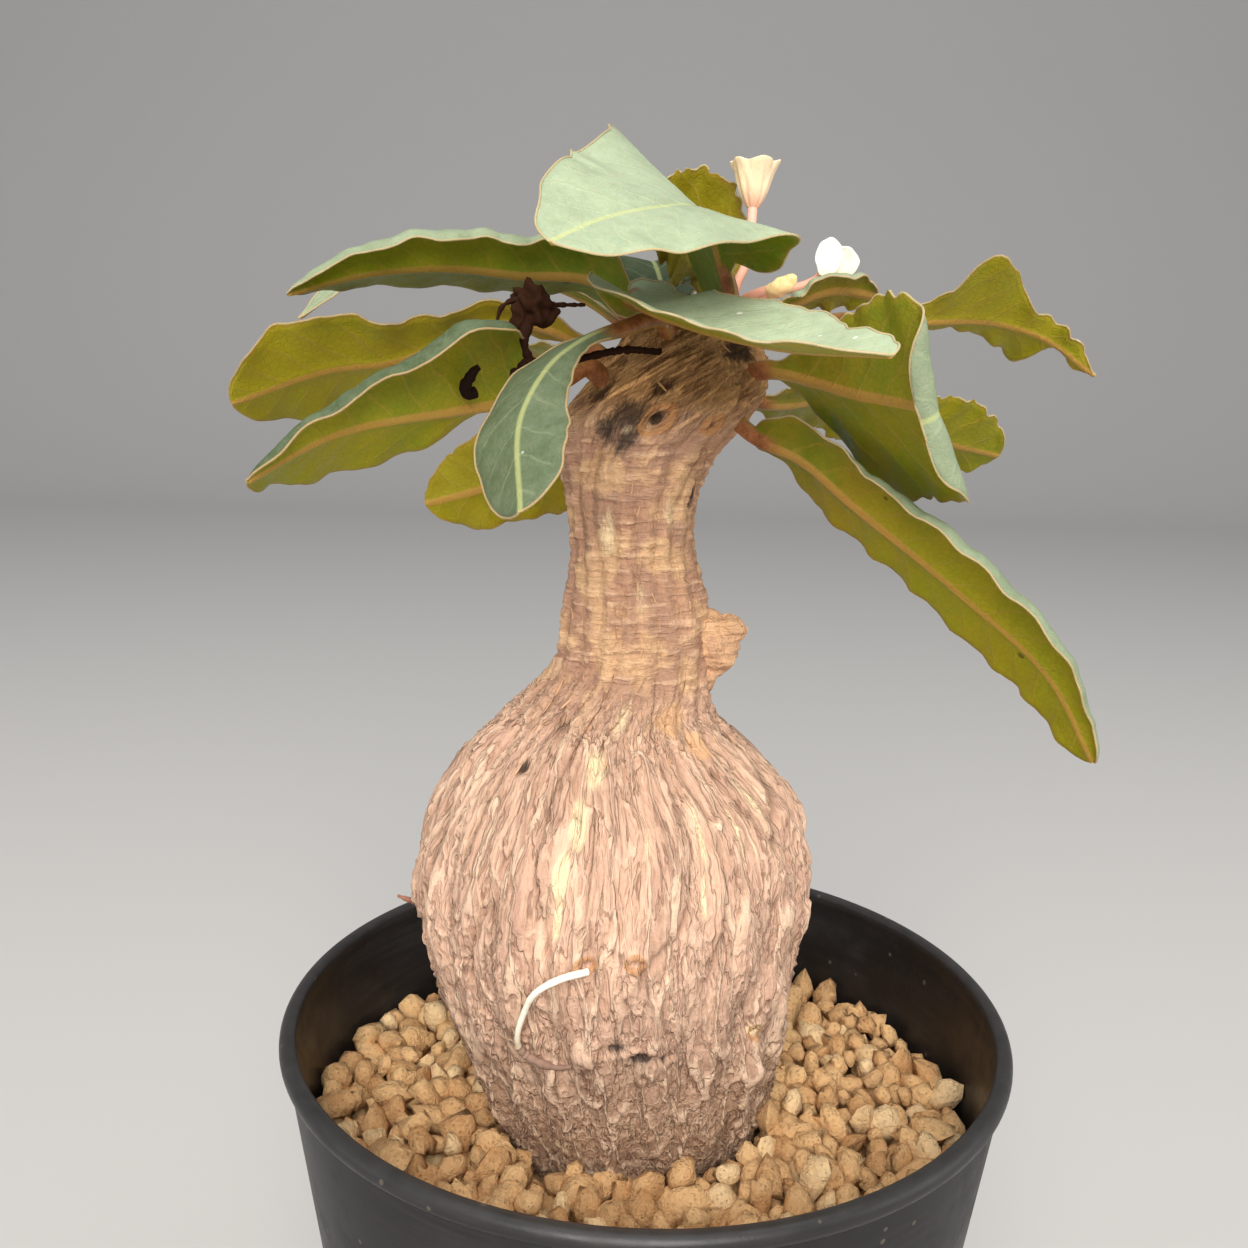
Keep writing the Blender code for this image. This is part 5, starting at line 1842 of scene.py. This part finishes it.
def cup_mesh(name, foot, reach, length):
    """A hollow bell that opens upwards, its rim flared into lobes and a little ruffled."""
    profile = np.array([
        (0.0, 0.36),
        (0.38, 0.42),
        (0.6, 0.6),
        (0.74, 0.84),
        (0.86, 0.985),
        (0.93, 1.0),
        (0.92, 0.95),
        (0.83, 0.8),
        (0.74, 0.6),
        (0.6, 0.36),
        (0.4, 0.14),
        (0.2, 0.0),
        (0.0, 0.0),
    ])
    knots = np.linspace(0.0, 1.0, len(profile))
    fine = smooth(np.linspace(0.0, 1.0, CUP_STEPS + 1), knots, profile * (reach, length))
    fine[:, 0] = np.maximum(fine[:, 0], 0.0)
    fine[[0, -1], 0] = 0.0
    mesh = turned(name, fine.tolist(), CUP_SIDES)
    for vertex in mesh.vertices:
        turn = atan2(vertex.co.y, vertex.co.x)
        opened = float(ease(vertex.co.z / MM, 0.5 * length, length))
        lobe = cos(CUP_LOBES * turn)
        ruffle = noise.noise(Vector((3 * cos(turn), 3 * sin(turn), 0.2))) * 0.16
        flute = 0.05 * cos(2 * CUP_LOBES * turn)
        flare = 1 + opened * (0.1 * lobe**3 + 0.1 + ruffle) + flute * (1 - opened)
        vertex.co.x *= flare
        vertex.co.y *= flare
        vertex.co.z += opened * (0.2 * lobe + 0.6 * ruffle) * MM
        vertex.co += Vector(foot) * MM
    return mesh


def bract_mesh(name, centre, across, up, width, height, cup):
    """A rounded, cupped bract with a closed thickness: centre, the two ways it spreads, sizes."""
    across, up = unit(np.array(across, float)), unit(np.array(up, float))
    facing = np.cross(across, up)
    work = bmesh.new()
    bmesh.ops.create_uvsphere(work, u_segments=40, v_segments=24, radius=1.0)
    for vertex in work.verts:
        u, v, w = vertex.co
        spread = u * u + v * v
        edge = noise.noise(Vector((u * 2.2, v * 2.2, width))) * 0.12 * spread
        flat = across * u * width * (1 + edge) + up * v * height * (1 + edge)
        fold = cup * spread - 0.06 * exp(-((u / 0.12) ** 2))
        place = np.array(centre) + flat + facing * (w * 0.45 + fold)
        vertex.co = Vector(place) * MM
    return finished_mesh(name, work)


flower_pink = blended_material("Flower stalk", (214, 150, 122), (238, 182, 160), (222, 238), 0.6)
cream_petal = blended_material(
    "Cream petal", (238, 180, 150), (253, 224, 186), (238.5, 242.5), 0.62, 0.25,
    Subsurface_Weight=0.15, Subsurface_Scale=0.001,
)
funnel = new_piece("upright_flower", cup_mesh("funnel", (13.0, 3.0, 238.6), 3.5, 6.9), cream_petal)
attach(funnel, "root")
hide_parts("flower_upright")
funnel_bends = ((10.8, 1.0, 227), (12.4, 1.4, 231), (12.8, 2.2, 235), (13.0, 3.0, 239.6))
funnel_route = seat_route(15, 222.8, *funnel_bends)
funnel_rod = rod_mesh("stalk", funnel_route, 0.75, flower_pink, (1.1, 0.95, 0.9, 1.05))
funnel_stalk = new_piece("upright_flower_stalk", funnel_rod)
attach(funnel_stalk, "root")
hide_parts("flower_upright")

white_petal = blended_material(
    "White petal", (236, 226, 190), (252, 250, 238), (229, 232), 0.55, 0.2,
    Subsurface_Weight=0.15, Subsurface_Scale=0.001,
)
BRACTS = (
    ("white_bract_near", (24.6, 3.9, 232.0), (0.9, 0.35, 0.2), (-0.1, -0.2, 1.0), 2.3, 2.9, 0.8),
    ("white_bract_far", (27.2, 5.0, 231.4), (0.95, -0.1, -0.2), (0.15, -0.3, 1.0), 2.5, 2.6, 0.9),
)
for label, *form in BRACTS:
    bract = new_piece(label, bract_mesh(label, *form), white_petal)
    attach(bract, "root")
    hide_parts("flower_white")
white_route = seat_route(40, 221.0, (14, 4.5, 225.5), (19, 5.5, 227), (23.5, 5.5, 228.6), (25.8, 4.9, 231.0))
white_rod = rod_mesh("stalk", white_route, 0.75, flower_pink, (1.1, 0.9, 0.9, 1.2))
white_stalk = new_piece("white_flower_stalk", white_rod)
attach(white_stalk, "root")
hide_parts("flower_white")

bud_yellow = blended_material("Bud", (226, 176, 124), (240, 216, 150), (225, 228), 0.6, 0.3)
BUD_LUMPS = (
    ((16.2, -9.9, 226.5), (2.3, 1.5, 1.3), -25, -25),
    ((17.6, -10.5, 227.4), (1.0, 1.1, 0.9), -40, -40),
)
bud_route = seat_route(325, 222.0, (11.2, -6.0, 224.4), (13.2, -8.4, 225.6), (15.8, -9.8, 226.4))
bud_stalk = new_piece("bud_stalk", rod_mesh("stalk", bud_route, 0.8, flower_pink, (1.1, 1.0, 0.9)))
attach(bud_stalk, "root")
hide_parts("bud")


def lumps_mesh(name, lumps, wrinkle, pitch):
    """Rounded lumps, each a centre, radii, lean and bearing, wrinkled by a depth."""
    work = rounded_lumps(lumps, 4)
    work.normal_update()
    moves = [vertex.normal * MM * wrinkle * noise.noise(vertex.co / MM * pitch) for vertex in work.verts]
    for vertex, move in zip(work.verts, moves):
        vertex.co += move
    return finished_mesh(name, work)


bud = new_piece("flower_bud", lumps_mesh("bud", BUD_LUMPS, 0.3, 0.9), bud_yellow)
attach(bud, "root")
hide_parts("bud")

# Withered flower
# A spent flower that dried dark brown in place: a thin bent stalk, a crumpled cup, its tail,
# style and thread, and apart from it a hooked style stuck under a leaf on the left.

WITHERED_CUP = (-18.2, -22.4, 222.7)
WITHERED_BEND = (-18.3, -25.0, 215.2)
withered = blended_material(
    "Withered flower", (26, 14, 8), (50, 28, 16), (212, 224), 0.9, 0.3, Specular_IOR_Level=0.08
)
cup_lumps = (
    (WITHERED_CUP, (2.7, 2.3, 3.0), -35, -35),
    ((-16.6, -22.0, 221.6), (1.6, 1.5, 1.9), 20, 20),
    ((-19.2, -23.0, 220.9), (1.4, 1.3, 2.0), 5, 5),
)
cup = new_piece("withered_cup", lumps_mesh("withered_cup", cup_lumps, 1.5, 0.8), withered)
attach(cup, "root")
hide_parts("flower_dried")
stalk_bends = ((-5.5, -14.4, 217.2), (-11.1, -21.0, 216.0), (-15.7, -24.0, 215.0), WITHERED_BEND)
neck_bends = ((-19.1, -24.8, 217.6), (-18.8, -23.6, 220.0))
thread_bends = ((-20.6, -22.6, 223.3), (-22.2, -22.8, 222.4), (-23.0, -23.0, 220.2))
WITHERED_RODS = (
    ("withered_stalk", seat_route(250, 217.4, *stalk_bends), 0.55, (1.0, 0.9, 1.1)),
    ("withered_neck", [WITHERED_BEND, *neck_bends, WITHERED_CUP], 0.6, (1.0, 1.4)),
    ("withered_tail", [WITHERED_BEND, (-19.5, -26.5, 213.5), (-20.5, -27.0, 211.5)], 1.1, (0.8, 1.1, 0.5)),
    ("withered_style", [WITHERED_CUP, (-16.1, -21.4, 222.8), (-11.3, -19.4, 223.0)], 0.45, (1.3, 0.8, 0.6)),
    ("withered_thread", [WITHERED_CUP, *thread_bends], 0.45, (1.2, 0.8, 0.5)),
)
for label, route, radius, girths in WITHERED_RODS:
    piece = new_piece(label, rod_mesh(label, route, radius, withered, girths, 0.5))
    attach(piece, "root")
    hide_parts("flower_dried")

HOOK_RADIUS = 0.75
HOOK_BELOW = 2.2
HOOK_PLACES = (
    (0.448, 0.41),
    (0.457, 0.38),
    (0.467, 0.31),
    (0.475, 0.25),
    (0.462, 0.18),
    (0.448, 0.19),
)


def below_leaf(leaf, along, across, clearance):
    """A point under the blade, a clearance away from its middle."""
    knots, points, _ = leaf_route(leaf)
    columns = np.array([across, across + RIB_STEP])
    (here, beside), _ = leaf_row(leaf, knots, points, along, columns)
    (ahead, _), _ = leaf_row(leaf, knots, points, along + RIB_STEP, columns)
    return here - unit(np.cross(ahead - here, beside - here)) * clearance


hook_route = [below_leaf(LEAVES["leaf_lower_left"], *place, HOOK_BELOW) for place in HOOK_PLACES]
hook_mesh = rod_mesh("hook", hook_route, HOOK_RADIUS, withered, (0.7, 1.0, 1.1, 1.2), 0.3)
hook = new_piece("dried_style_hook", hook_mesh)
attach(hook, "root")
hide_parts("dried_hook")

# Fine root
# A thin white root that springs from a scar on the front of the bulge, arches down over the
# bark and ends in a dried brown tip that clings to it.

ROOT_BENDS = (
    (265, 131.0, 1.1),
    (259, 130.6, 2.2),
    (253, 128.2, 3.0),
    (248, 123.6, 2.7),
    (244.5, 118.6, 1.7),
    (243.5, 116.4, 1.3),
)
DRY_TIP_BENDS = (
    (243.5, 116.9, 1.3),
    (244.0, 115.2, 1.0),
    (248, 113.9, 0.7),
    (253, 113.2, 0.6),
    (257, 113.6, 0.4),
)
root_white = blended_material("White root", (226, 206, 166), (250, 244, 226), (114, 124), 0.55, 0.2)
root_dry = blended_material("Dry root", (132, 104, 88), (168, 136, 116), (112, 118), 0.85, 0.4)
root_route = [stem_point(*bend) for bend in ROOT_BENDS]
root_mesh = rod_mesh("root", root_route, 0.5, root_white, (1.1, 1.0, 0.9, 0.85), 0.15)
root = new_piece("fine_white_root", root_mesh)
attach(root, "root")
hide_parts("fine_root")
tip_route = [stem_point(*bend) for bend in DRY_TIP_BENDS]
tip_mesh = rod_mesh("dry_tip", tip_route, 0.6, root_dry, (0.9, 1.2, 0.9, 0.5), 0.5)
dry_tip = new_piece("dry_root_tip", tip_mesh)
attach(dry_tip, "root")
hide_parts("fine_root")

# Twig
# The dry, reddish end of a side shoot that sticks out of the knob on the left of the bulge.
# It grew there, so its foot is in the bark.

TWIG_BENDS = ((184.0, 127.2, -0.6), (184.6, 127.9, 0.9), (185.4, 128.6, 2.0), (186.0, 129.2, 2.9))
dry_twig = blended_material("Dry twig", (128, 84, 70), (164, 118, 98), (127, 130), 0.85, 0.4)
twig_route = [stem_point(*bend) for bend in TWIG_BENDS]
twig_mesh = rod_mesh("twig", twig_route, 0.5, dry_twig, (1.5, 1.0, 0.8, 0.5), 0.3)
twig = new_piece("dry_twig", twig_mesh, dry_twig)
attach(twig, "root")
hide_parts("caudex")

# Studio
# A plain pale floor that curves up into a backdrop, soft light from above and both sides,
# and the camera where the photograph was taken from.

CAMERA_PLACE = (-5.0, -195.1, 215.3)
CAMERA_PITCH = 11.75
CAMERA_ROLL = 1.31
LENS = 36.115
SENSOR = 36.0
FLOOR_HALF = 3.0
BACKDROP_AT = 1.6
BACKDROP_BEND = 0.8
BACKDROP_STEPS = 24
BACKDROP_HEIGHT = 3.0
SKY_COLOUR = (0.9, 0.93, 1.0, 1.0)
SKY_STRENGTH = 0.45
NEAREST = 0.005


def backdrop_mesh():
    """A floor that bends up behind the object in a wide curve."""
    profile = [(-FLOOR_HALF, 0.0)]
    for k in range(BACKDROP_STEPS + 1):
        turn = radians(90 * k / BACKDROP_STEPS)
        profile.append((BACKDROP_AT + BACKDROP_BEND * sin(turn), BACKDROP_BEND * (1 - cos(turn))))
    profile.append((BACKDROP_AT + BACKDROP_BEND, BACKDROP_HEIGHT))
    points = [(x, y, z) for y, z in profile for x in (-FLOOR_HALF, FLOOR_HALF)]
    faces = [(2 * k, 2 * k + 1, 2 * k + 3, 2 * k + 2) for k in range(len(profile) - 1)]
    mesh = bpy.data.meshes.new("floor")
    mesh.from_pydata(points, [], faces)
    mesh.shade_smooth()
    return mesh


paper = new_material("Pale floor", Base_Color=rgb(198, 196, 192), Roughness=0.9)[0]
floor = new_piece("floor", backdrop_mesh(), paper)
floor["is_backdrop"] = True

LIGHTS = (
    ("key_light", (-0.04, -1.15, 0.85), (0, 0, 0.15), 1.0, 24.5, (1.0, 0.965, 0.92)),
    ("top_light", (0.0, -0.1, 1.3), (0, 0, 0.15), 1.2, 5.0, (1.0, 0.98, 0.95)),
    ("left_light", (-1.2, -0.3, 0.45), (0, 0, 0.16), 0.9, 1.6, (1.0, 0.98, 0.96)),
    ("right_light", (1.2, -0.2, 0.45), (0, 0, 0.16), 0.9, 3.0, (1.0, 0.98, 0.96)),
)
for label, place, target, size, power, colour in LIGHTS:
    lamp = bpy.data.lights.new(label, "AREA")
    lamp.shape = "DISK"
    lamp.size = size
    lamp.energy = power
    lamp.color = colour
    light = new_piece(label, lamp)
    light.location = place
    light.rotation_euler = (Vector(target) - Vector(place)).to_track_quat("-Z", "Y").to_euler()

world = bpy.data.worlds.new("Studio")
world.use_nodes = True
sky = world.node_tree.nodes["Background"].inputs
sky["Color"].default_value = SKY_COLOUR
sky["Strength"].default_value = SKY_STRENGTH
bpy.context.scene.world = world
bpy.context.scene.view_settings.view_transform = "Standard"

camera_data = bpy.data.cameras.new("camera")
camera_data.lens = LENS
camera_data.sensor_width = SENSOR
camera_data.clip_start = NEAREST
camera = new_piece("camera", camera_data)
pitch, turn = radians(CAMERA_PITCH), radians(CAMERA_ROLL)
forward = Vector((0, cos(pitch), -sin(pitch)))
lift = Vector((0, sin(pitch), cos(pitch)))
right = Vector((1, 0, 0))
camera_right = right * cos(turn) + lift * sin(turn)
camera_up = lift * cos(turn) - right * sin(turn)
facing = Matrix((camera_right, camera_up, -forward)).transposed().to_4x4()
camera.matrix_world = Matrix.Translation(Vector(CAMERA_PLACE) * MM) @ facing
bpy.context.scene.camera = camera

sizes = {"cad": [list(corner) for corner in cad_box], "visual": [list(corner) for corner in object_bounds()]}
